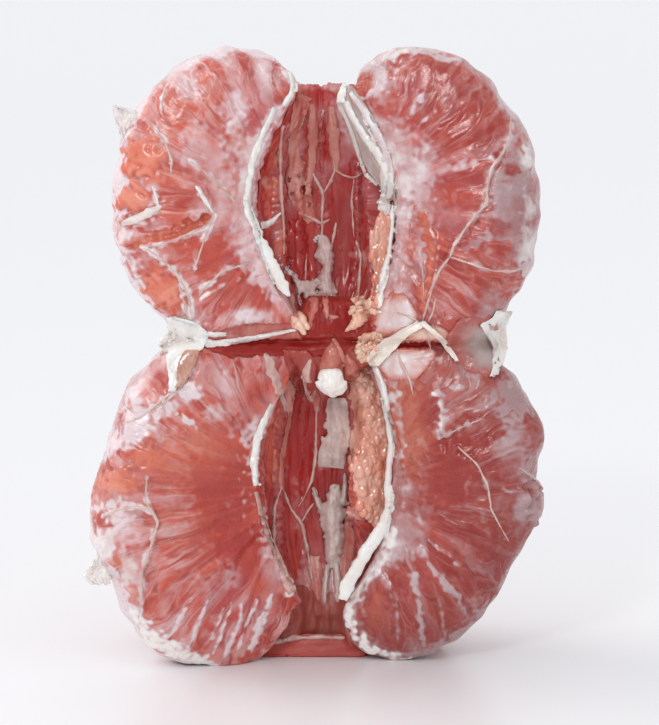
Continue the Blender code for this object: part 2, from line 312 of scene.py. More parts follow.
def fleshMaterial(name, shine, dim, bright):
    # sacs with their own reds under a skin, which the painted layers make milky, white, orange, dark or wet; part of
    # the dark is painted shade, and part of the milky is painted light on the rims and on the lit upper left lobe
    material, tree, shader = newMaterial(name)
    mottle, cloud = grain(tree, fleshLook["mottle"], 4), grain(tree, fleshLook["cloud"], 3)
    fine = grain(tree, fleshLook["fine"], 3)
    still, fan = fanSpot(tree)
    edge = cells(tree, fan, "DISTANCE_TO_EDGE")
    own = tree.nodes.new("ShaderNodeSeparateColor")
    tree.links.new(cells(tree, fan, "SMOOTH_F1"), own.inputs[0])
    fibre, streak = streaks(tree, fan, fleshLook["fibre"], 3), streaks(tree, fan, fleshLook["streak"], 2)
    veil, seams, veins = attribute(tree, "veil"), attribute(tree, "seams"), attribute(tree, "veins")
    streak = maths(tree, "MULTIPLY_ADD", veins, maths(tree, "SUBTRACT", mottle, streak), streak)
    ray = maths(tree, "MULTIPLY_ADD", veins, -0.9, 1.0)  # sacs lie along the faces, and end on at the backs

    # each sac has its own red, which runs into its neighbours'
    tone = maths(tree, "MULTIPLY_ADD", streak, 0.9, times(tree, own.outputs[0], 0.5))
    colour = mixColour(tree, spread(tree, tone, 0.42, 0.98), looks["ruby"], looks["coral"])
    colour = mixColour(tree, spread(tree, cloud, 0.50, 0.85), colour, looks["magenta"])
    hot = mixColour(tree, own.outputs[1], looks[dim], looks[bright])
    colour = mixColour(tree, attribute(tree, "warm"), colour, hot)
    wine = mixColour(tree, spread(tree, mottle, 0.3, 0.75), looks["crimson"], looks["scarlet"])
    colour = mixColour(tree, attribute(tree, "deep"), colour, wine)
    # between them the skin shows paler, and white where the flesh has shrunk
    soft = spread(tree, edge, 0.42, 0.0)
    seam = times(tree, soft, soft, seams, spread(tree, fibre, 0.22, 0.66))
    colour = mixColour(tree, times(tree, seam, 0.50), colour, looks["rose"])
    white = maths(tree, "MULTIPLY_ADD", veil, 0.40, maths(tree, "MULTIPLY_ADD", fibre, 0.25, streak))
    white = times(tree, spread(tree, white, 0.60, 0.98), ray, seams, 0.9)
    # this milky mix is the real veil and also painted rim light and painted paleness
    milkyAndLit = times(tree, veil, spread(tree, mottle, 0.15, 0.65))
    milkyAndLit = maths(tree, "ADD", milkyAndLit, maths(tree, "MULTIPLY_ADD", times(tree, seam, veil), 0.5, white))
    colour = mixColour(tree, milkyAndLit, colour, looks["milkAndLight"])
    # the backs are crossed by threads of pith that run from tip to tip
    thread = maths(tree, "SUBTRACT", streaks(tree, still, fleshLook["thread"], 2), 0.5)
    thread = spread(tree, maths(tree, "ABSOLUTE", thread), 0.035, 0.004)
    vein = spread(tree, cells(tree, fan, "DISTANCE_TO_EDGE", fleshLook["threadCell"]), 0.06, 0.01)
    vein = maths(tree, "MAXIMUM", times(tree, thread, 0.75), times(tree, vein, 0.35))
    vein = times(tree, vein, veins, spread(tree, mottle, 0.35, 0.55))
    colour = mixColour(tree, vein, colour, looks["pith"])
    # painted shade: the flesh darkens towards the shade red where that layer is painted
    colour = mixColour(tree, attribute(tree, "dusk"), colour, looks["dusk"])
    speckle = maths(tree, "MULTIPLY_ADD", mottle, 1.2, -0.6)
    pale = spread(tree, maths(tree, "ADD", attribute(tree, "white"), speckle), 0.15, 0.75)
    colour = mixColour(tree, pale, colour, looks["pith"])
    tree.links.new(colour, shader.inputs["Base Color"])

    dry = maths(tree, "MULTIPLY_ADD", attribute(tree, "wet"), -0.7, 1.0)
    tree.links.new(times(tree, spread(tree, fine, -0.25, 2.2), dry), shader.inputs["Roughness"])
    setInputs(shader, {"Specular IOR Level": shine, "Coat Weight": shine * 0.4, "Coat Roughness": 0.12,
                       "Subsurface Weight": fleshLook["glow"], "Subsurface Scale": fleshLook["glowDepth"],
                       "Subsurface Radius": (1.0, 0.25, 0.15)})
    dome = times(tree, maths(tree, "MULTIPLY_ADD", times(tree, soft, soft), -1.0, 1.0), seams)
    height = maths(tree, "MULTIPLY_ADD", mottle, 0.9, maths(tree, "MULTIPLY_ADD", fibre, 0.35, dome))
    addBump(tree, shader, height, fleshLook["bump"], fleshLook["bumpDepth"])
    return material


softLook = {"fine": 700, "bumps": 900, "bumpDepth": 0.0004, "glowDepth": 0.0015}


def softMaterial(name, first, second, grainSize=260, roughness=0.55, glow=0.25, gloss=0.0, bump=0.4, under=None,
                 stretch=None, specular=0.5):
    # pith, films and loose sacs: two colours in patches, with a fine rough surface
    material, tree, shader = newMaterial(name)
    vector = None
    if stretch:
        vector = vectorMaths(tree, "MULTIPLY", tree.nodes.new("ShaderNodeTexCoord").outputs["Object"], stretch)
    colour = mixColour(tree, spread(tree, grain(tree, grainSize, 4, vector), 0.35, 0.70), first, second)
    if under:  # the flesh shows through where a film is thin
        colour = mixColour(tree, attribute(tree, "thin"), colour, under)
    tree.links.new(colour, shader.inputs["Base Color"])
    rough = maths(tree, "MULTIPLY_ADD", grain(tree, softLook["fine"], 3), 0.6 * roughness, 0.7 * roughness)
    tree.links.new(rough, shader.inputs["Roughness"])
    setInputs(shader, {"Specular IOR Level": specular, "Coat Weight": gloss, "Coat Roughness": 0.08,
                       "Subsurface Weight": glow, "Subsurface Scale": softLook["glowDepth"],
                       "Subsurface Radius": (1.0, 0.5, 0.4)})
    addBump(tree, shader, grain(tree, softLook["bumps"], 4), bump, softLook["bumpDepth"])
    return material


flesh = fleshMaterial("flesh", 0.34, "amber", "orange")
hollowFlesh = fleshMaterial("hollow_flesh", 0.22, "ember", "flame")
pith = softMaterial("pith", looks["pith"], looks["webPale"])
chalk = softMaterial("core_pith", (0.60, 0.42, 0.39), (0.74, 0.58, 0.55), 400)
palePith = softMaterial("pale_core_pith", (0.60, 0.45, 0.41), (0.80, 0.69, 0.63), 260)
web = softMaterial("web", (0.54, 0.13, 0.10), (0.68, 0.32, 0.27), 140, 0.4)
webCord = softMaterial("web_cord", (0.60, 0.33, 0.29), (0.72, 0.50, 0.45), 300, 0.4)
cordSkin = softMaterial("cord", (0.76, 0.58, 0.53), (0.66, 0.36, 0.30), 220, 0.4, 0.3, 0.2)
edgePith = softMaterial("cut_edge", (0.95, 0.93, 0.90), (0.86, 0.77, 0.70), 240, 0.35, 0.3, 0.3, 0.3)
# painted shade: these greys are a white pith sheet's shade behind the lobes, painted into its colour
waistFilm = softMaterial("waist_film", (0.42, 0.31, 0.29), (0.60, 0.50, 0.47), 110, 0.35, 0.3, 0.2, 0.4,
                         (0.46, 0.11, 0.09))
creamPith = softMaterial("cream_pith", (0.93, 0.85, 0.77), (0.88, 0.70, 0.60), 140, 0.4, 0.35, 0.2)
cream = softMaterial("torn_crumb", (0.90, 0.60, 0.45), (0.84, 0.38, 0.27), 180, 0.35, 0.35, 0.3)
amber = softMaterial("wet_skin", (0.48, 0.11, 0.08), (0.64, 0.24, 0.17), 300, 0.3, 0.3, 0.3)
pulp = softMaterial("pulp", (0.36, 0.022, 0.016), (0.27, 0.012, 0.010), 110, 0.4, 0.3, 0.06, specular=0.2)
lip = softMaterial("pulp_skin", (0.34, 0.034, 0.026), (0.46, 0.13, 0.10), 260, 0.45, 0.3, 0.1, 0.4,
                   (0.42, 0.070, 0.052), (1, 1, 0.22), 0.3)
# painted glow: this red stands in for the light that the backlit fruit throws on the floor under its belly
bellyGlowSkin = softMaterial("belly_glow_band", (0.52, 0.060, 0.038), (0.40, 0.032, 0.023), 60, 0.5, 0.25, 0.05, 0.3)
crevice = softMaterial("crevice", (0.34, 0.018, 0.013), (0.25, 0.010, 0.008), 90, 0.45, 0.3, 0.05, 0.4,
                       (0.34, 0.032, 0.024), specular=0.2)
juicy = softMaterial("juice_sacs", (0.97, 0.47, 0.35), (0.84, 0.26, 0.16), 150, 0.2, 0.35, 1.0, 0.1)
bellySkin = softMaterial("belly_skin", (0.34, 0.060, 0.042), (0.44, 0.13, 0.10), 90, 0.5, 0.25)
flapSkin = softMaterial("skin_flap", (0.72, 0.56, 0.50), (0.92, 0.84, 0.80), 160, 0.4)
tan = softMaterial("tan_skin", (0.50, 0.24, 0.17), (0.62, 0.36, 0.28), 160, 0.45)
salmon = softMaterial("salmon_skin", (0.84, 0.44, 0.32), (0.90, 0.66, 0.56), 120, 0.35, 0.3, 0.3, 0.4,
                      (0.62, 0.24, 0.20))
lipVeil = softMaterial("streaked_skin", (0.40, 0.050, 0.036), (0.62, 0.27, 0.22), 220, 0.4, 0.3, 0.1, 0.4,
                       (0.48, 0.10, 0.08), (1, 1, 0.3))
veilSkin = softMaterial("veil_skin", (0.76, 0.50, 0.47), (0.92, 0.85, 0.87), 200, 0.4, 0.3, 0.1, 0.4,
                        (0.62, 0.18, 0.13), (1, 1, 0.3))
print("materials made")

mm = 0.001
# points nearer than these are one point, on the skins and on what is laid on them
skinMerge = 0.00001
laidMerge = 0.000002
lobeGrid = {"columns": 240, "rows": 320, "openingShare": 0.68}
backGrid = {"columns": 80, "rows": 170, "edgePull": 0.5}
# how many juice sacs lie along a segment and from its edge outwards, and how high they stand
sacs = {"turns": 52, "apart": 7.3, "inner": 2.2, "lobeOuter": 5.0, "backOuter": 7.0,
        "ridge": 0.0007, "ridgeGrain": (0.6, 0.45), "lump": 0.0006, "lumpSize": 0.0045}
# one of these layers is painted shade, and the milky veil also carries painted light
paintLayers = ("veil", "warm", "deep", "white", "dusk", "wet", "seams", "veins")
shapeLayers = ("lift", "smooth")


def meshFrom(bm, name):
    mesh = bpy.data.meshes.new(name)
    bm.to_mesh(mesh)
    bm.free()
    return mesh


def addWall(piece, thickness, offset=-1):
    wall = piece.modifiers.new("thickness", "SOLIDIFY")
    wall.thickness = thickness
    wall.offset = offset


def turnToCamera(bm, faces, away):
    # a sheet's faces look at the camera before it gets its wall
    bm.normal_update()
    if sum(face.normal.dot(away) for face in faces) > 0:
        bmesh.ops.reverse_faces(bm, faces=list(faces))


def saveValues(vertex, layers, values):
    for layer, value in zip(layers, values):
        vertex[layer] = value


def smoothStep(low, high, values):
    t = np.clip((values - low) / (high - low), 0, 1)
    return t * t * (3 - 2 * t)


def segmentMesh(name, half, segment, columns, rows, openingShare=None, edgePull=0.0):
    # a ball whose poles become the segment's tips
    opening = 1 if segment.bulge >= 0 else -1
    outer = sacs["lobeOuter"] if segment.bulge else sacs["backOuter"]
    bm = bmesh.new()
    bmesh.ops.create_uvsphere(bm, u_segments=columns, v_segments=rows, radius=1)
    layers = [bm.verts.layers.float.new(key) for key in ("fanTurn", "fanDepth", "across", "side", "relief")]
    for vertex in bm.verts:
        along = 1 - 2 * math.acos(max(-1, min(1, vertex.co.z))) / math.pi
        turn = opening * math.atan2(vertex.co.y, vertex.co.x) % (2 * math.pi)
        if openingShare:  # more columns on the side that shows at the opening
            share = turn / (2 * math.pi)
            turn = math.pi * (share / openingShare if share < openingShare
                              else 1 + (share - openingShare) / (1 - openingShare))
        turn += edgePull * math.sin(turn)
        around = opening * (turn if turn <= math.pi else turn - 2 * math.pi)
        vertex.co = segmentPoint(half, segment, along, around)

        across = math.cos(around)
        depth = outer * abs(around) / math.radians(90) if across > 0 else outer - sacs["inner"] * across
        fan = Vector((along * sacs["turns"] / 2 + segment.start * sacs["apart"], math.copysign(depth, around)))
        relief = sacs["ridge"] * noise.noise(Vector((fan.x * sacs["ridgeGrain"][0],
                                                     fan.y * sacs["ridgeGrain"][1], 0)))
        relief += sacs["lump"] * noise.noise(vertex.co / sacs["lumpSize"])
        saveValues(vertex, layers, (*fan, across, opening * math.sin(around), relief))
    bmesh.ops.remove_doubles(bm, verts=bm.verts, dist=skinMerge)
    bmesh.ops.recalc_face_normals(bm, faces=bm.faces)
    return meshFrom(bm, name)


def readVertices(mesh, what):
    values = np.empty(len(mesh.vertices) * 3, np.float32)
    mesh.vertices.foreach_get(what, values)
    return values.reshape(-1, 3).astype(float)


def readLayer(mesh, name):
    values = np.empty(len(mesh.vertices), np.float32)
    mesh.attributes[name].data.foreach_get("value", values)
    return values.astype(float)


def writeLayer(mesh, name, values):
    layer = mesh.attributes.get(name) or mesh.attributes.new(name, "FLOAT", "POINT")
    layer.data.foreach_set("value", np.asarray(values, np.float32))


def wobble(points, size, seed):
    return np.array([noise.noise(Vector(p) / size + Vector((seed, 0, 0))) for p in points])


# how far drawn marks wander from their lines, and how ragged and how soft their edges are
brush = {"wander": 3.0, "wanderSize": 0.0035, "raggedSize": 0.0016, "facing": (0.0, 0.25), "tip": 0.35,
         "swell": 0.65, "lineEdge": (0.1, 1), "lineRagged": 1.1, "lineCore": 0.85, "blobEdge": (0.35, 1.15),
         "blobRagged": 0.55, "plainWhite": 0.5}


def strokeShare(spots, ragged, path, width):
    # 1 on a drawn line, falling to 0 at its width on both sides, and thinner towards its ends
    path = np.array(path, float)
    lengths = np.hypot(*np.diff(path, axis=0).T)
    nearest, place, start = np.full(len(spots), 1e9), np.zeros(len(spots)), 0.0
    for first, line, length in zip(path[:-1], np.diff(path, axis=0), lengths):
        t = np.clip(((spots - first) @ line) / max(line @ line, 1e-9), 0, 1)
        away = np.hypot(*(spots - first - t[:, None] * line).T)
        place = np.where(away < nearest, start + t * length, place)
        nearest = np.minimum(nearest, away)
        start += length
    taper = brush["tip"] + brush["swell"] * np.sqrt(np.sin(np.pi * np.clip(place / start, 0.02, 0.98)))
    reach = nearest / (width * taper) / (1 + brush["lineRagged"] * ragged)
    return (1 - smoothStep(*brush["lineEdge"], reach)) * (brush["lineCore"] + ragged)


def blobShare(spots, ragged, blob):
    # 1 in the middle of an ellipse, falling to 0 at its edge
    x, y, wide, high, slope = blob
    turn = math.radians(slope)
    dx, dy = spots[:, 0] - x, spots[:, 1] - y
    u = (dx * math.cos(turn) + dy * math.sin(turn)) / wide
    v = (dy * math.cos(turn) - dx * math.sin(turn)) / high
    return 1 - smoothStep(*brush["blobEdge"], np.hypot(u, v) + brush["blobRagged"] * ragged)


def keepPiece(mesh, name, material, nodes=()):
    mesh.materials.append(material)
    mesh.shade_smooth()
    piece = bpy.data.objects.new(name, mesh)
    bpy.context.scene.collection.objects.link(piece)
    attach(piece, "root")
    if nodes:
        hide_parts(*nodes)
    return piece


def addMarks(mesh, marks, layers, seed):
    # colours and raises a skin where the marks say, then saves its layers
    points, normals = readVertices(mesh, "co"), readVertices(mesh, "normal")
    wander = wobble(points, brush["wanderSize"], seed) * brush["wander"]  # drawn lines aren't quite smooth
    spots = pictureSpots(points) + np.stack([wander, -wander], axis=1)
    ragged = wobble(points, brush["raggedSize"], seed + 20)
    facing = smoothStep(*brush["facing"], -(normals @ np.array(sight)))
    for effects, shape, width in marks:
        share = strokeShare(spots, ragged, shape, width) if width else blobShare(spots, ragged, shape)
        for key, strength in effects.items():
            layers[key] += strength * share * facing
    plain = np.clip(brush["plainWhite"] * layers["white"] + layers["smooth"], 0, 1)
    layers["seams"] -= layers["smooth"]
    points += normals * (readLayer(mesh, "relief") * (1 - plain) + layers["lift"] * mm)[:, None]
    points[:, 2] = np.maximum(points[:, 2], 0)
    mesh.vertices.foreach_set("co", points.astype(np.float32).ravel())
    mesh.update()
    for key in paintLayers:
        writeLayer(mesh, key, np.clip(layers[key], 0, 1))


def blankLayers(points):
    return {key: np.zeros(len(points)) for key in paintLayers + shapeLayers}


rim = {"from": 0.140, "share": 0.86}  # the rim of the upper hollow is torn lower than the tips

# each end segment's painted shade on its face and on its back, how milky it is all over, which on the lit upper left
# lobe is painted light, and how much painted rim light whitens its outer rim
lobeLooks = {
    "upper_segment_8": {"dusk": 0.0, "shade": 0.0, "veil": 0.08, "rim": 0.70},
    "lower_segment_7": {"dusk": 0.08, "shade": 0.0, "veil": 0.0, "rim": 0.45},
    "upper_segment_1": {"dusk": 0.18, "shade": 0.12, "veil": 0.0, "rim": 0.45},
    "lower_segment_1": {"dusk": 0.38, "shade": 0.22, "veil": 0.0, "rim": 0.35},
}


# a segment's layers run across it, from -1 at its inner edge to 1 at its back, or on its side, to 1 at the opening
faceSkin = {"leastSeams": 0.12, "seams": 0.75, "seamPatches": 0.8, "seamSize": 0.012, "seamsOn": (-0.6, 0.35),
            "patches": 0.45, "edgeVeil": 0.4, "edge": (-0.35, -0.95), "rim": (0.84, 1.0), "face": (-0.3, 0.3),
            "outside": (-0.2, 0.95), "veins": 0.7, "veinsOn": (0.3, -0.4), "backVeil": 0.2, "backPatches": 0.4,
            "back": (0.15, -0.5)}
backSkin = {"inner": (-0.2, -0.7), "seams": 0.8, "seamsInside": 0.7, "veil": 0.20, "patches": 0.30,
            "flankVeil": 0.14, "flank": (0.6, 0.1), "veilInside": 0.7, "deep": 0.85, "dusk": 0.15, "veins": 0.8,
            "veinsOn": (-0.2, 0.3)}
patchSize = 0.009


def dressSegment(half, number, segment, marks):
    name = f"{half['name']}_segment_{number}"
    mesh = segmentMesh(name, half, segment, **(lobeGrid if segment.bulge else backGrid))
    points = readVertices(mesh, "co")
    across, side = readLayer(mesh, "across"), readLayer(mesh, "side")
    layers = blankLayers(points)
    patch = wobble(points, patchSize, number + 40)
    if segment.bulge:
        lobe, look = lobeLooks[name], faceSkin
        seams = look["seams"] + look["seamPatches"] * wobble(points, look["seamSize"], number + 60)
        layers["seams"] += look["leastSeams"] + seams * smoothStep(*look["seamsOn"], across)
        layers["veil"] = lobe["veil"] + look["patches"] * patch + look["edgeVeil"] * smoothStep(*look["edge"], across)
        # painted rim light: the outer rim is painted milky-pale
        layers["veil"] += lobe["rim"] * smoothStep(*look["rim"], across)
        # painted shade: darker on the face of a shaded lobe and towards its outer side
        shade = lobe["shade"] * smoothStep(*look["outside"], across)
        layers["dusk"] += lobe["dusk"] * smoothStep(*look["face"], side) + shade
        layers["veins"] += look["veins"] * smoothStep(*look["veinsOn"], side)
        backVeil = (look["backVeil"] + look["backPatches"] * patch) * smoothStep(*look["back"], side)
        layers["veil"] = np.maximum(layers["veil"], backVeil)
    else:
        look = backSkin
        inner = smoothStep(*look["inner"], across)
        layers["seams"] += look["seams"] - look["seamsInside"] * inner
        flank = look["flankVeil"] * smoothStep(*look["flank"], across)
        layers["veil"] = (look["veil"] + look["patches"] * patch + flank) * (1 - look["veilInside"] * inner)
        layers["deep"] = look["deep"] * inner
        # painted shade: the back segments darken towards their inner edges, deep in the hollow
        layers["dusk"] = look["dusk"] * inner
        layers["veins"] += look["veins"] * smoothStep(*look["veinsOn"], across)
    if half is upper and not segment.bulge:
        over = points[:, 2] - rim["from"]
        points[:, 2] = np.where(over > 0, rim["from"] + over * rim["share"], points[:, 2])
        mesh.vertices.foreach_set("co", points.astype(np.float32).ravel())
    addMarks(mesh, marks, layers, number)
    return keepPiece(mesh, name + "_skin", flesh, [name])


# each hollow is lined with one sheet of membrane
lining = {"columns": 200, "rows": 245, "to": 176, "solidWall": 0.0140, "wall": 0.0138, "edge": 0.0172,
          "thickness": 0.0006, "torn": 0.0012, "frayed": 0.0005, "wave": 0.0007, "relief": 0.0006,
          "fan": (5.5, 0.0075), "apart": 31, "tears": 3.1, "frays": 11, "waveSize": (2.2, 0.012),
          "reliefSize": (9, 0.011), "deep": 0.85, "deepPatches": 0.3, "deepSize": 0.008, "veilPatches": 0.25,
          "veilSize": 0.006, "seams": 0.15, "wet": 0.5, "dusk": 0.12}


def makeLining(half, low, high, fromTurn, marks, seed):
    columns, rows = lining["columns"], lining["rows"]
    segment = (lowerSegments if half is lower else upperSegments)[3]
    edge = [outlinePoint(half, segment, i / 60 - 1, -1) for i in range(121)]
    heights, radii = [z for r, z in edge], [r for r, z in edge]
    bm = bmesh.new()
    bmesh.ops.create_grid(bm, x_segments=columns, y_segments=rows, size=1)
    layers = [bm.verts.layers.float.new(key) for key in ("fanTurn", "fanDepth", "relief")]
    for vertex in bm.verts:
        turn = math.radians(fromTurn + (lining["to"] - fromTurn) * (vertex.co.x + 1) / 2)
        rise = (vertex.co.y + 1) / 2
        top = high + lining["torn"] * noise.noise(Vector((turn * lining["tears"], seed, 0)))
        top += lining["frayed"] * noise.noise(Vector((turn * lining["frays"], seed, 1)))
        z = low + (top - low) * rise
        wall = float(np.interp(z - half["middleZ"], heights, radii)) * lining["wall"] / lining["solidWall"]
        r = wall * (1 + (lining["edge"] / lining["wall"] - 1) * abs(math.cos(turn)) ** 3)
        r += lining["wave"] * noise.noise(Vector((turn * lining["waveSize"][0], z / lining["waveSize"][1], seed)))
        across, down = lining["reliefSize"]
        relief = lining["relief"] * noise.noise(Vector((turn * across, z / down, seed)))
        fan = (turn * lining["fan"][0] + seed * lining["apart"], z / lining["fan"][1])
        saveValues(vertex, layers, (*fan, relief))
        vertex.co = fruit["axis"] + Vector((r * math.cos(turn), r * math.sin(turn), z))
    turnToCamera(bm, bm.faces, Vector((0, 1, 0)))
    name = half["name"] + "_hollow_lining"
    mesh = meshFrom(bm, name)
    points = readVertices(mesh, "co")
    layers = blankLayers(points)
    layers["deep"] += lining["deep"] + lining["deepPatches"] * wobble(points, lining["deepSize"], seed)
    layers["veil"] += lining["veilPatches"] * wobble(points, lining["veilSize"], seed + 3)
    # the lining's even darkening is painted shade in the hollow
    for key in ("seams", "wet", "dusk"):
        layers[key] += lining[key]
    addMarks(mesh, marks, layers, seed)
    piece = keepPiece(mesh, name, hollowFlesh)
    addWall(piece, lining["thickness"])
    return piece


def stroke(path, width, **effects):
    # a mark along a line on the picture, with its half width in pixels
    return effects, path, width


def blob(x, y, wide, high, slope=0, **effects):
    # a mark that fills an ellipse on the picture, sloping by some degrees
    return effects, (x, y, wide, high, slope), 0
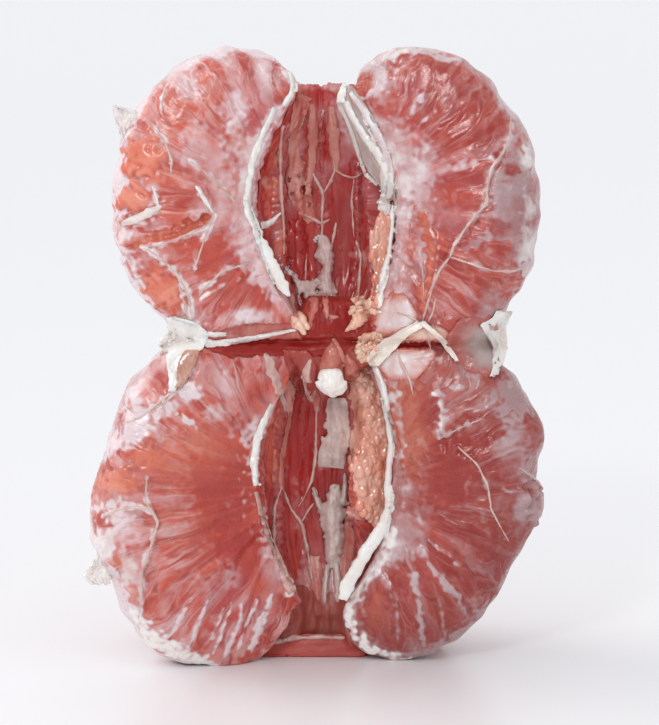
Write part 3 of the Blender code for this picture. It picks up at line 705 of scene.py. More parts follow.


# where a mark darkens a skin towards the shade red, that darkening is painted shade
marks = {
    "upper_segment_8": [
        stroke([(281, 68), (289, 78), (292, 88), (289, 98), (283, 106)], 5, veil=0.64, lift=0.25),
        stroke([(278, 110), (262, 135), (253, 160), (248, 185), (247, 205)], 13, veil=0.8),
        stroke([(266, 128), (254, 155), (247, 185), (247, 203)], 5, veil=0.52, lift=0.2),
        stroke([(240, 120), (228, 150), (222, 180), (225, 205)], 22, veil=0.5),
        stroke([(247, 203), (250, 215), (256, 232), (263, 250), (275, 272), (287, 293)], 7, veil=0.7, lift=0.25),
        stroke([(240, 215), (250, 255), (275, 300)], 20, veil=0.7),
        stroke([(190, 161), (219, 185), (235, 201)], 5, veil=0.7, lift=0.5),
        stroke([(198, 187), (211, 210), (215, 214)], 3.5, veil=0.7, lift=0.2),
        stroke([(204, 184), (217, 203)], 4, deep=0.6, lift=-0.5),
        stroke([(215, 214), (207, 226), (174, 240), (158, 246), (141, 246)], 4.5, veil=1.0, lift=0.8),
        stroke([(213, 218), (204, 240), (194, 271)], 4.5, veil=0.9, lift=0.6),
        stroke([(141, 246), (158, 256), (176, 273), (188, 293), (192, 316)], 5, veil=0.9, lift=0.8),
        stroke([(178, 283), (184, 301), (190, 320)], 3.5, veil=0.8, lift=0.6),
        stroke([(204, 288), (223, 271), (249, 263)], 4, veil=0.8, lift=0.5),
        stroke([(200, 300), (225, 283), (262, 277)], 3.5, veil=0.7, lift=0.4),
        stroke([(215, 281), (202, 287), (198, 294)], 3.5, veil=0.64, lift=0.15),
        blob(190, 326, 16, 10, white=0.8),
        stroke([(197, 188), (205, 200), (212, 212)], 4, white=0.9, lift=0.4),
        blob(144, 160, 24, 25, warm=1.0, veil=-1.2, lift=0.8, smooth=0.75),
        blob(133, 198, 20, 15, -20, warm=1.0, veil=-1.2, lift=0.8, smooth=0.75),
        blob(161, 290, 18, 25, -35, warm=1.0, veil=-1.2, lift=0.6, smooth=0.75),
        blob(123, 184, 7, 5, veil=1.0),
        stroke([(151, 124), (164, 140), (172, 161), (170, 173)], 3.5, veil=0.52, lift=0.25),
        stroke([(167, 82), (163, 95), (161, 112)], 3, veil=0.52, lift=0.2),
        stroke([(153, 189), (158, 203)], 3.5, veil=0.64, lift=0.2),
        stroke([(125, 222), (140, 222), (156, 211)], 7, veil=0.64, lift=0.35),
        stroke([(128, 245), (150, 240), (178, 232), (209, 218)], 10, warm=0.9, deep=0.25, veil=-1.4, lift=-1.1,
               smooth=1.0, wet=0.6),
        blob(187, 252, 21, 15, 10, deep=0.4, warm=0.3, veil=-1.2, smooth=0.6),
        blob(211, 257, 11, 26, 25, deep=0.4, warm=0.3, veil=-1.2, smooth=0.6),
        blob(178, 200, 30, 22, deep=0.15, veil=-0.3, smooth=0.3),
        blob(228, 175, 30, 52, veil=0.28, smooth=0.6),
        stroke([(248, 150), (240, 185), (244, 225), (262, 262), (282, 292)], 12, veil=0.35, smooth=0.3),
        # painted shade in the next mark
        blob(240, 290, 36, 24, 20, dusk=0.16, veil=-0.3),
        blob(198, 150, 22, 42, veil=0.4, smooth=0.2),
        blob(200, 150, 66, 96, warm=0.22, veil=-0.12),
        blob(150, 246, 24, 14, warm=0.25, veil=-0.3),
        blob(200, 215, 24, 26, veil=0.4),
        blob(234, 105, 18, 16, veil=0.45),
        blob(230, 150, 9, 20, veil=-0.4),
        blob(252, 315, 22, 9, veil=0.5),
        stroke([(150, 90), (125, 130), (118, 170), (120, 225), (140, 290), (170, 330)], 10, veil=0.5),
    ],
    "upper_segment_1": [
        stroke([(344, 92), (350, 103), (361, 124), (375, 144), (383, 163), (389, 185), (390, 196)], 4, veil=0.7,
               lift=0.3),
        blob(400, 164, 28, 54, -20, veil=0.95, white=0.14, smooth=0.6),
        blob(440, 205, 40, 34, smooth=0.6, veil=0.2),
        blob(384, 84, 18, 28, -20, veil=0.7, smooth=0.3),
        stroke([(368, 66), (385, 55), (405, 50), (430, 50), (458, 62)], 8, veil=1.0, white=0.15),
        blob(392, 185, 22, 58, -10, veil=0.5, white=0.26),
        blob(424, 210, 13, 62, veil=0.45),
        blob(528, 232, 11, 60, veil=0.8, white=0.28),
        blob(398, 292, 18, 32, veil=0.6, white=0.1),
        # painted shade in the next two marks
        blob(446, 106, 30, 30, deep=0.5, veil=-0.8, smooth=0.3, dusk=0.08),
        blob(486, 142, 19, 22, deep=0.55, veil=-0.9, smooth=0.3, dusk=0.12),
        blob(427, 162, 20, 34, -15, veil=0.45),
        stroke([(372, 62), (392, 54), (418, 52)], 7, veil=0.6, white=0.2),
        stroke([(352, 98), (372, 118), (395, 135)], 10, veil=0.7),
        blob(367, 84, 14, 10, -30, veil=-0.5, warm=0.3),
        blob(391, 100, 9, 20, 15, veil=-0.4, warm=0.3),
        stroke([(381, 66), (385, 83), (367, 97), (356, 103)], 3.5, veil=0.8, lift=0.3),
        stroke([(428, 87), (421, 102), (408, 118)], 3.5, veil=0.6, lift=0.2),
        stroke([(460, 90), (440, 105), (418, 126)], 4, veil=0.6, lift=0.2),
        blob(474, 127, 34, 34, veil=-0.9, deep=0.3),
        stroke([(425, 175), (460, 165), (490, 158)], 6, veil=0.5),
        blob(455, 190, 30, 22, veil=-0.3, deep=0.2),
        stroke([(511, 116), (510, 136), (503, 152), (491, 169), (487, 189), (487, 203), (477, 214), (467, 226),
                (454, 246), (450, 257), (440, 269), (432, 289), (424, 316), (421, 326)], 3.5, veil=0.46, lift=0.4),
        stroke([(507, 150), (495, 171), (491, 189), (491, 203)], 2.5, deep=0.7, lift=-0.6),
        stroke([(480, 219), (460, 246)], 2.5, deep=0.5, lift=-0.5),
        stroke([(450, 257), (469, 263), (493, 271), (514, 271), (528, 266)], 3.5, veil=0.46, lift=0.35),
        stroke([(417, 208), (427, 228), (432, 254), (429, 278), (423, 308)], 9, warm=0.8, veil=-0.9, smooth=0.8,
               lift=0.5),
        stroke([(424, 210), (434, 232), (439, 254), (437, 272), (431, 292)], 2.5, white=0.35, lift=0.3),
        stroke([(441, 262), (452, 246), (476, 222), (486, 206)], 2.5, deep=0.5, lift=-0.5),
        stroke([(420, 248), (423, 275), (424, 297)], 2.5, veil=0.58, lift=0.2),
        stroke([(402, 212), (404, 250), (398, 300)], 14, veil=0.75, warm=0.25, smooth=0.9, lift=0.6),
        stroke([(393, 200), (391, 225), (389, 254), (380, 285), (378, 318)], 4, veil=0.64, lift=0.3),
        blob(408, 255, 8, 25, 5, warm=0.3, veil=-0.4),
        # painted shade on the lobe's right side in the next three marks
        blob(519, 205, 27, 74, veil=0.9, smooth=0.7, dusk=0.35),
        stroke([(497, 175), (500, 205), (492, 235), (465, 248)], 10, veil=0.6, smooth=0.5, dusk=0.2),
        blob(492, 306, 24, 22, 30, veil=0.5, dusk=0.2, smooth=0.5),
        blob(513, 170, 9, 7, deep=0.3, veil=-0.8),
        # painted highlight on the lobe's outer rim
        blob(529, 157, 11, 21, -15, white=0.45, veil=0.6),
        blob(497, 226, 18, 9, 15, deep=0.4, veil=-0.6),
        blob(516, 170, 8, 6, deep=0.2, veil=-0.4),
        blob(500, 248, 20, 9, 15, deep=0.3, veil=-0.5),
        blob(462, 275, 14, 12, deep=0.3, veil=-0.5, lift=0.3),
        blob(478, 300, 22, 16, deep=0.3, veil=-0.4, lift=0.3),
        blob(447, 326, 16, 12, deep=0.35, veil=-1.0, lift=1.0, smooth=0.7),
        blob(395, 187, 4, 4, warm=0.5, lift=0.6, veil=-0.5),
        blob(398, 213, 5, 5, warm=0.5, lift=0.6, veil=-0.5),
    ],
    "lower_segment_2": [
        blob(367, 445, 30, 95, warm=0.7, wet=1, deep=-1, veil=-1),
    ],
    "lower_segment_7": [
        stroke([(158, 413), (176, 388), (192, 368), (196, 357)], 4, veil=0.58, lift=0.35),
        stroke([(150, 408), (168, 395), (175, 378), (180, 355)], 4, veil=0.46, lift=0.25),
        stroke([(178, 413), (192, 426), (205, 446)], 4, veil=0.8, lift=0.4),
        stroke([(175, 405), (150, 415), (125, 436), (105, 455)], 12, veil=0.6),
        blob(116, 483, 27, 18, warm=1.0, veil=-1.2, lift=0.8, smooth=0.75),
        blob(149, 457, 22, 13, 20, warm=0.8, veil=-1.0, lift=0.4, smooth=0.7),
        stroke([(96, 508), (118, 502), (140, 506)], 6, veil=0.8),
        blob(125, 515, 25, 13, veil=0.75, smooth=0.5),
        blob(133, 538, 18, 14, veil=0.25, deep=0.12),
        # painted shade in the next mark
        blob(120, 562, 13, 10, warm=0.6, veil=-0.7, dusk=0.15),
        blob(133, 592, 7, 13, warm=0.6, veil=-0.8),
        blob(104, 545, 13, 26, -15, veil=0.5, white=0.35),
        blob(195, 480, 80, 80, warm=0.22, veil=-0.12),
        blob(200, 505, 75, 85, deep=0.15, warm=0.1, veil=-0.3),
        blob(244, 364, 22, 14, deep=0.3, veil=-0.5),
        blob(220, 490, 50, 70, deep=0.2, veil=-0.6, smooth=0.5),
        blob(205, 452, 35, 26, 10, warm=0.4, veil=-0.7),
        blob(215, 485, 45, 35, deep=0.25, veil=-0.6),
        blob(236, 545, 28, 40, deep=0.35, veil=-0.3),
        stroke([(147, 477), (145, 500), (149, 506), (158, 522), (151, 546), (142, 571), (142, 593), (138, 622)], 3.5,
               veil=0.52, lift=0.4),
        stroke([(151, 505), (162, 522), (155, 548), (145, 573), (145, 610)], 2.5, deep=0.5, lift=-0.6),
        stroke([(102, 517), (125, 507), (147, 508), (157, 520)], 4, veil=0.52, lift=0.35),
        stroke([(102, 551), (113, 531), (136, 515)], 3.5, veil=0.4, lift=0.25),
        stroke([(110, 570), (125, 605), (150, 640), (185, 658)], 13, veil=0.75),
        blob(188, 392, 15, 10, veil=0.8, white=0.2),
        blob(134, 425, 14, 38, veil=0.6),
        blob(212, 414, 15, 11, veil=0.4),
        blob(236, 436, 12, 15, veil=0.5),
        blob(130, 572, 12, 30, -20, veil=0.5, white=0.3),
        stroke([(132, 612), (156, 642), (185, 658), (212, 663)], 12, veil=1.0, white=0.8),
        blob(232, 570, 16, 24, veil=0.5),
        blob(185, 465, 42, 32, warm=0.3, veil=-0.4),
        stroke([(270, 408), (264, 425), (257, 442), (254, 464), (256, 486)], 6, veil=0.64, lift=0.25),
        stroke([(258, 420), (244, 445), (240, 480), (246, 510)], 12, veil=0.6),
        stroke([(256, 515), (270, 553), (281, 575), (293, 595)], 5, veil=0.4, lift=0.3),
        blob(291, 590, 6, 8, white=0.7, lift=0.6),
        stroke([(270, 596), (259, 631), (250, 654)], 5, veil=0.9, lift=0.3),
        stroke([(243, 600), (236, 630), (226, 656)], 3, veil=0.7, lift=0.3),
        stroke([(257, 600), (246, 626), (238, 650)], 2.5, veil=0.6, lift=0.3),
        stroke([(232, 602), (222, 630), (213, 654)], 2.5, veil=0.6, lift=0.3),
        stroke([(222, 610), (212, 635), (200, 655)], 3, veil=0.6, lift=0.3),
        stroke([(208, 600), (196, 630), (186, 648)], 3, veil=0.6, lift=0.3),
        stroke([(192, 598), (178, 624), (168, 640)], 3, veil=0.6, lift=0.3),
        stroke([(226, 664), (258, 658), (292, 649)], 9, veil=-2.0, white=-1.0, warm=0.4, deep=0.3, smooth=0.8),
    ],
    "lower_segment_1": [
        stroke([(371, 359), (384, 392), (390, 426), (394, 442), (390, 464), (388, 486), (391, 509), (384, 526),
                (370, 546), (357, 567), (344, 589), (342, 602)], 5.5, veil=0.7, lift=0.4),
        blob(408, 425, 24, 72, -4, warm=0.85, veil=-0.8, smooth=0.85),
        blob(450, 480, 45, 34, 15, deep=0.2, smooth=0.6, veil=-0.3),
        stroke([(400, 350), (407, 366), (411, 384)], 8, veil=1.0),
        blob(428, 412, 11, 28, deep=0.4, veil=-0.8),
        stroke([(437, 392), (443, 410), (441, 436)], 8, veil=1.0, lift=0.15),
        stroke([(450, 388), (462, 388)], 4, veil=0.64),
        blob(468, 441, 27, 14, -10, deep=0.5, veil=-0.9, lift=-0.6, smooth=0.5),
        stroke([(439, 439), (464, 426), (482, 419)], 3, veil=0.8, lift=0.5),
        stroke([(457, 446), (477, 464), (488, 486), (491, 509), (500, 526), (509, 542)], 3.5, veil=0.4, lift=0.35),
        stroke([(491, 491), (522, 490)], 3, veil=0.8, lift=0.4),
        stroke([(520, 468), (536, 480), (546, 492)], 3, veil=0.46, lift=0.25),
        blob(400, 538, 26, 32, 35, veil=1.1, white=0.14, smooth=0.4),
        blob(446, 545, 24, 18, 20, deep=0.3, veil=-0.5),
        stroke([(375, 560), (355, 590)], 13, veil=0.9),
        stroke([(404, 550), (415, 580), (420, 609), (424, 646)], 4.5, veil=0.9, white=0.12, lift=0.3),
        stroke([(428, 540), (456, 562), (480, 574)], 3, veil=0.7, lift=0.2),
        stroke([(438, 600), (444, 622), (446, 640)], 3, veil=0.5, lift=0.2),
        stroke([(418, 548), (448, 587), (466, 612)], 4.5, veil=0.9, white=0.1, lift=0.3),
        stroke([(380, 570), (395, 600), (398, 640)], 3.5, veil=0.5, lift=0.2),
        stroke([(346, 615), (360, 640), (385, 656), (420, 656), (455, 640), (490, 605), (515, 570)], 7, veil=0.7),
        stroke([(388, 366), (396, 400), (401, 440), (398, 470), (396, 500)], 7, veil=1.2, white=0.2, smooth=0.4),
        stroke([(394, 532), (381, 556), (363, 580), (351, 602)], 13, white=0.55, veil=0.6),
        # painted shade in the next mark
        blob(512, 396, 26, 20, 40, veil=0.9, dusk=0.1, smooth=0.3),
        blob(524, 508, 14, 18, veil=0.6),
        blob(486, 580, 22, 36, -35, deep=0.4, veil=-0.8),
        blob(488, 428, 20, 16, deep=0.5, veil=-0.8),
        stroke([(345, 602), (349, 620), (357, 637), (370, 649), (386, 656), (410, 659)], 6, white=0.85),
        blob(376, 614, 15, 24, 15, warm=0.5, veil=-0.8, smooth=0.6),
        stroke([(434, 392), (441, 408), (440, 430)], 5, white=0.6),
        blob(480, 568, 34, 30, -40, deep=0.6, veil=-0.6),
        # painted shade in the next mark
        blob(474, 500, 44, 90, -10, deep=0.3, veil=-0.3, dusk=0.1),
        blob(404, 486, 14, 16, veil=0.5, white=0.1),
        blob(522, 400, 14, 22, 20, veil=0.5),
        stroke([(352, 612), (362, 634), (385, 648)], 7, veil=0.4, white=0.15),
        blob(465, 530, 36, 12, 15, deep=0.5, veil=-0.5),
        blob(538, 505, 20, 26, -20, lift=2.2, veil=0.3, smooth=0.5),
        blob(505, 440, 28, 50, -15, veil=0.4, deep=0.2),
    ],
}
upperHollowMarks = [
    stroke([(285, 84), (300, 84), (320, 84), (345, 88)], 9, veil=0.5, deep=-0.9, warm=0.2),
    stroke([(290, 92), (277, 130), (270, 175), (269, 226)], 12, warm=1.0, veil=-0.8, deep=-1.0, lift=0.3),
    blob(296, 145, 10, 60, 4, veil=0.15, deep=-0.1),
    stroke([(323, 92), (323, 130), (322, 175)], 5, deep=0.1, warm=0.25, lift=-0.5),
    blob(348, 140, 13, 34, 8, veil=0.3, deep=-0.5, smooth=0.5),
    blob(338, 205, 14, 28, warm=0.15, deep=0.25),
    blob(297, 250, 14, 38, warm=0.1, deep=0.2, veil=-0.8, lift=0.8, smooth=0.6),
    blob(345, 262, 18, 46, deep=0.6, veil=-0.8),
    blob(279, 248, 9, 16, 20, warm=0.8, deep=-0.6, veil=-0.6),
    blob(343, 114, 14, 22, veil=0.55, deep=-0.7),
    # painted shade deep in the upper hollow
    blob(342, 232, 20, 60, dusk=0.22, veil=-0.4),
    blob(380, 150, 7, 30, -20, veil=0.5, deep=-0.6),
]
lowerHollowMarks = [
    stroke([(278, 385), (270, 430), (269, 486)], 11, warm=1.0, veil=-0.8, deep=-1.0, lift=0.3),
    blob(287, 372, 18, 14, veil=0.3, deep=-0.5),
    blob(300, 440, 15, 58, warm=0.1, deep=0.15, veil=-0.9, smooth=0.5),
    blob(291, 545, 9, 45, deep=-0.2, veil=-0.3),
    # painted shade low in the lower hollow
    blob(331, 480, 22, 24, deep=0.5, veil=-0.9, dusk=0.15),
    blob(352, 555, 16, 42, 20, veil=0.6, deep=-0.9, smooth=0.3),
    blob(318, 585, 34, 26, veil=0.4, deep=-0.6, warm=0.2),
]
# the belly's darkening is painted shade
bellyMarks = [blob(322, 622, 60, 34, veil=-0.5, deep=-0.5, warm=0.3, dusk=0.25)]

hollowMarks = {"upper": upperHollowMarks, "lower": lowerHollowMarks + bellyMarks}
skins = {}
for half, segments in ((lower, lowerSegments), (upper, upperSegments)):
    for number, segment in enumerate(segments, 1):
        name = f"{half['name']}_segment_{number}"
        skins[name] = dressSegment(half, number, segment, marks.get(name, hollowMarks[half["name"]]))
    print(half["name"], "segments made")
skins["upper_lining"] = makeLining(upper, 0.0905, 0.1548, 4, upperHollowMarks, 3)
skins["lower_lining"] = makeLining(lower, 0.0108, 0.0850, 38, lowerHollowMarks, 5)
print("hollows lined")

# what is laid on the skins is drawn on the picture, and lies on the first skin behind it
trees = {}


def addTree(key, piece):
    bm = bmesh.new()
    bm.from_mesh(piece.data)
    trees[key] = BVHTree.FromBMesh(bm)
    bm.free()


for key, piece in skins.items():
    addTree(key, piece)
hollowKeys = {"upper": ["upper_lining"] + [f"upper_segment_{i}" for i in range(2, 8)],
              "lower": ["lower_lining"] + [f"lower_segment_{i}" for i in range(2, 7)]}


def castSpot(spot, keys=None):
    # how far the first skin behind a spot is, with its normal
    ray, best = sightLine(spot), (None, None)
    for key in keys or trees:
        place, normal, index, distance = trees[key].ray_cast(eye, ray)
        if place is not None and (best[0] is None or distance < best[0]):
            best = (distance, normal)
    return best


def smoothed(values, rounds):
    for _ in range(rounds):
        values[1:-1] = (values[:-2] + 2 * values[1:-1] + values[2:]) / 4
    return values


def castLine(spots, keys, rounds):
    # smooth distances along a line, with missing ones taken from their neighbours
    values = [castSpot(spot, keys)[0] for spot in spots]
    known = [i for i, value in enumerate(values) if value is not None]
    return smoothed(np.interp(range(len(values)), known, [values[i] for i in known]), rounds)


def smoothPath(path, step, rounds=4):
    # evenly spaced rows on a smooth line through a path's rows
    path = np.array(path, float)
    lengths = np.r_[0, np.cumsum(np.hypot(*np.diff(path[:, :2], axis=0).T))]
    even = np.linspace(0, lengths[-1], max(int(lengths[-1] / step), 4) + 1)
    return smoothed(np.stack([np.interp(even, lengths, column) for column in path.T], axis=1), rounds)


def roughness(x, y, seed):
    return noise.noise(Vector((x, y, seed))) + 0.6 * noise.noise(Vector((x * 2.7, y * 2.7, seed + 5)))


# how far a film's sides and ends are torn, and over how many pixels and rows
tears = {"side": 2.4, "sideSize": 13, "end": 9, "endRows": 7, "pull": 5, "pullSize": 5, "hole": 0.35, "holeSize": 3}
# how a film folds and comes down to the skin at its sides and ends; the least rise is in mm
filmShape = {"endGrain": 2.2, "foldSize": (4, 9), "sideDrop": 0.8, "endRise": 0.4, "endSlope": 4, "leastRise": 0.05}


def layFilm(bm, path, keys, seed, ragged=0.2, crumple=0.3, holes=(), step=1.1, reach=0.0016):
    # a strip along rows of (x, y, half width, lift in mm), with torn edges
    rows = smoothPath(path, step)
    distances = castLine(rows[:, :2], keys, 3)
    slope = np.gradient(rows[:, :2], axis=0)
    slope /= np.maximum(np.hypot(*slope.T), 1e-9)[:, None]
    columns = max(int(2 * rows[:, 2].max() / step), 4)
    grid = bmesh.ops.create_grid(bm, x_segments=columns, y_segments=len(rows) - 1, size=1)["verts"]
    spots = {}
    for vertex in grid:
        c, at = vertex.co.x, (vertex.co.y + 1) / 2 * (len(rows) - 1)
        i = min(int(at + 0.5), len(rows) - 1)
        x, y, halfWidth, lift = rows[i]
        tearY, tearX = y / tears["sideSize"], x / tears["sideSize"] + math.copysign(9, c)
        edge = 1 + ragged * tears["side"] * roughness(tearY, tearX, seed) * abs(c)
        ending = max(0, 1 - min(at, len(rows) - 1 - at) / tears["endRows"]) * (1 if at > i / 2 else -1)
        pull = tears["end"] * ragged * roughness(c * filmShape["endGrain"], seed, at // (len(rows) / 2)) * ending
        pull += tears["pull"] * ragged * roughness(y / tears["pullSize"], math.copysign(3, c), seed + 2) * abs(c) ** 3
        spot = Vector((x - slope[i][1] * c * halfWidth * edge + slope[i][0] * pull,
                       y + slope[i][0] * c * halfWidth * edge + slope[i][1] * pull))
        distance = castSpot(spot, keys)[0]
        if distance is None or abs(distance - distances[i]) > reach:
            distance = distances[i]
        foldX, foldY = spot.x / filmShape["foldSize"][0], spot.y / filmShape["foldSize"][1]
        fold = crumple * roughness(foldX, foldY, seed + 3) * (1 - abs(c) ** 3)
        fromEnd = filmShape["endRise"] + filmShape["endSlope"] * min(at, len(rows) - 1 - at) / len(rows)
        rise = (lift + fold) * (1 - filmShape["sideDrop"] * c * c) * min(1, fromEnd)
        vertex.co = eye + sightLine(spot) * (distance - max(rise, filmShape["leastRise"]) * mm)
        spots[vertex] = spot
    faces = {face for vertex in grid for face in vertex.link_faces}
    torn = [face for face in faces
            if any(math.hypot((sum(spots[v].x for v in face.verts) / 4 - x) / wide,
                              (sum(spots[v].y for v in face.verts) / 4 - y) / high)
                   + tears["hole"] * roughness(spots[face.verts[0]].x / tears["holeSize"],
                                               spots[face.verts[0]].y / tears["holeSize"], seed) < 1
                   for x, y, wide, high in holes)]
    faces -= set(torn)
    bmesh.ops.delete(bm, geom=torn, context="FACES")
    turnToCamera(bm, faces, sight)


cordShape = {"tip": 0.3, "swell": 0.7, "bumps": 0.5, "bumpSize": 9, "waves": 0.9, "waveSize": 17, "least": 0.3,
             "end": 0.02}


def layStrand(bm, path, keys, seed, sink=0.3, step=1.5, sides=6):
    # a cord along rows of (x, y, radius in mm), thin at both ends
    rows = smoothPath(path, step)
    distances = castLine(rows[:, :2], keys, 2)
    count = len(rows) - 1
    places = [eye + sightLine(row[:2]) * (distance - row[2] * mm * (1 - 2 * sink))
              for row, distance in zip(rows, distances)]
    for vertex in bmesh.ops.create_grid(bm, x_segments=sides, y_segments=count, size=1)["verts"]:
        i = round((vertex.co.y + 1) / 2 * count)
        turn = math.pi * vertex.co.x
        forward = (places[min(i + 1, count)] - places[max(i - 1, 0)]).normalized()
        sideways = forward.cross(sight).normalized()
        out = sideways.cross(forward).normalized()
        taper = math.sqrt(math.sin(math.pi * min(max(i / count, 0.002), 0.998)))
        radius = rows[i][2] * mm * (cordShape["tip"] + cordShape["swell"] * taper)
        radius *= 1 + cordShape["bumps"] * roughness(i * step / cordShape["bumpSize"], turn, seed)
        waves = cordShape["waves"] * roughness(i * step / cordShape["waveSize"], 3, seed)
        radius *= max(cordShape["least"], 1 + waves)
        radius *= cordShape["end"] if i in (0, count) else 1
        vertex.co = places[i] + (sideways * math.cos(turn) + out * math.sin(turn)) * radius


sacShape = {"smallest": 0.65, "spread": 0.7, "outward": 0.5, "sway": 0.4, "thinning": 0.35, "sides": 8, "rings": 6}


def laySacs(bm, spots, keys, size, seed, stretch=1.5, sink=0.45, lean=(0, 0, 1)):
    # loose juice sacs, each a small drop
    draw = random.Random(seed)
    for spot in spots:
        distance, normal = castSpot(spot, keys)
        if distance is None:
            continue
        normal = normal if normal.dot(sight) < 0 else -normal
        radius = size * (sacShape["smallest"] + sacShape["spread"] * draw.random())
        length = radius * (1 + (stretch - 1) * 2 * draw.random())
        sway = Vector([draw.uniform(-sacShape["sway"], sacShape["sway"]) for _ in range(3)])
        long = (Vector(lean) + normal * sacShape["outward"] + sway).normalized()
        turn = long.to_track_quat("Z", "Y")
        place = eye + sightLine(spot) * distance + normal * radius * (1 - 2 * sink)
        drop = bmesh.ops.create_uvsphere(bm, u_segments=sacShape["sides"], v_segments=sacShape["rings"], radius=1)
        for vertex in drop["verts"]:
            x, y, z = vertex.co
            thin = 1 - sacShape["thinning"] * z  # a drop is thinner at one end
            vertex.co = place + turn @ Vector((x * radius * thin, y * radius * thin, z * length))


def spotsIn(outline, pitch, seed):
    # scattered spots inside an outline on the picture
    draw = random.Random(seed)
    xs, ys = [x for x, y in outline], [y for x, y in outline]
    spots, row = [], 0
    y = min(ys)
    while y < max(ys):
        x = min(xs) + (row % 2) * pitch / 2
        while x < max(xs):
            spot = (x + draw.uniform(-0.3, 0.3) * pitch, y + draw.uniform(-0.3, 0.3) * pitch)
            inside = False
            for (ax, ay), (bx, by) in zip(outline, outline[1:] + outline[:1]):
                if (ay > spot[1]) != (by > spot[1]) and spot[0] < (bx - ax) * (spot[1] - ay) / (by - ay) + ax:
                    inside = not inside
            if inside:
                spots.append(spot)
            x += pitch
        y += pitch * 0.87
        row += 1
    return spots


def makeLaid(name, material, build, thickness=0.0, nodes=()):
    bm = bmesh.new()
    build(bm)
    bmesh.ops.remove_doubles(bm, verts=bm.verts, dist=laidMerge)
    if not thickness:
        bmesh.ops.recalc_face_normals(bm, faces=bm.faces)
    piece = keepPiece(meshFrom(bm, name), name, material, nodes)
    if thickness:
        addWall(piece, thickness)
    return piece


# films and cords of membrane left in the hollows
hollowFilms = {
    "upper": [
        {"path": [(306, 96, 8, 0.5), (299, 110, 8, 0.7), (294, 126, 7.5, 0.7), (292, 150, 7, 0.7),
                  (294, 174, 8.5, 0.8), (300, 194, 11.5, 0.8), (305, 208, 9.5, 0.7), (312, 222, 5, 0.4)],
         "holes": [(289, 180, 2.5, 3), (299, 176, 2.5, 2.5), (303, 190, 3, 5), (309, 205, 3, 2.5), (292, 194, 2, 2)]},
        {"path": [(311, 104, 3, 0.5), (313, 125, 5.5, 0.8), (313, 150, 5, 0.8), (310, 178, 3.5, 0.7),
                  (307, 195, 2, 0.4)]},
        {"path": [(331, 106, 3, 0.4), (333, 130, 6, 0.8), (335, 155, 5, 0.7), (336, 172, 2, 0.4)]},
    ],
    "lower": [
        {"path": [(282, 358, 6, 0.5), (288, 385, 7, 0.8), (290, 405, 4, 0.6), (287, 430, 2.5, 0.6),
                  (282, 460, 2.5, 0.6), (281, 488, 3, 0.5)]},
        {"path": [(309, 365, 6, 0.5), (310, 385, 5, 0.7), (316, 398, 4, 0.7), (318, 412, 2, 0.4)]},
        {"path": [(357, 508, 8, 0.5), (352, 530, 11, 0.8), (346, 560, 9, 0.7), (342, 590, 6, 0.4)],
         "holes": [(357, 527, 5, 3.5)]},
        {"path": [(315, 556, 6, 0.4), (316, 580, 8, 0.7), (318, 602, 7, 0.4)], "holes": [(329, 565, 2.5, 9)]},
    ],
}
hollowCords = {
    "upper": [
        [(322, 240, 0.45), (322, 215, 0.45), (323, 193, 0.45), (313, 174, 0.40), (311, 160, 0.3)],
        [(323, 194, 0.40), (330, 182, 0.40), (335, 170, 0.40), (333, 155, 0.3)],
        [(335, 170, 0.30), (345, 176, 0.32), (354, 178, 0.35), (362, 173, 0.35)],
        [(354, 178, 0.35), (352, 200, 0.35), (353, 220, 0.32), (354, 238, 0.25)],
        [(306, 212, 0.40), (307, 195, 0.40), (308, 178, 0.35), (312, 160, 0.3)],
        [(336, 222, 0.32), (334, 236, 0.32), (331, 248, 0.28)],
        [(356, 240, 0.5), (361, 255, 0.42), (360, 275, 0.36), (358, 300, 0.4)],
        [(303, 214, 0.4), (312, 218, 0.4), (322, 224, 0.5), (330, 219, 0.3)],
        [(305, 290, 0.22), (306, 262, 0.2), (307, 252, 0.15)],
        [(284, 112, 0.5), (280, 150, 0.55), (281, 190, 0.5), (284, 230, 0.4), (284, 255, 0.35)],
    ],
    "lower": [
        [(317, 404, 0.45), (316, 430, 0.42), (316, 455, 0.42), (312, 480, 0.38), (303, 500, 0.3), (298, 507, 0.2)],
        [(282, 486, 0.40), (291, 509, 0.42), (302, 524, 0.45), (308, 553, 0.45), (313, 584, 0.5)],
        [(314, 503, 0.28), (307, 512, 0.35), (302, 522, 0.4)],
        [(282, 486, 0.45), (274, 509, 0.45), (274, 542, 0.48), (281, 564, 0.52), (294, 592, 0.6)],
        [(361, 506, 0.35), (348, 522, 0.35), (341, 540, 0.35), (338, 556, 0.3)],
        [(256, 512, 0.5), (262, 535, 0.6), (270, 556, 0.7), (281, 577, 0.8), (291, 593, 1.1)],
    ],
}
hollowCrumple = 0.12


def layFilms(bm, films, keys, seed):
    for number, film in enumerate(films):
        layFilm(bm, film["path"], keys, seed + number, crumple=hollowCrumple, holes=film.get("holes", ()))


for half in ("upper", "lower"):
    makeLaid(half + "_hollow_films", web, lambda bm: layFilms(bm, hollowFilms[half], hollowKeys[half], 11),
             0.00025)
    makeLaid(half + "_hollow_cords", webCord, lambda bm: [
        layStrand(bm, path, hollowKeys[half], number) for number, path in enumerate(hollowCords[half])])
print("hollow films laid")

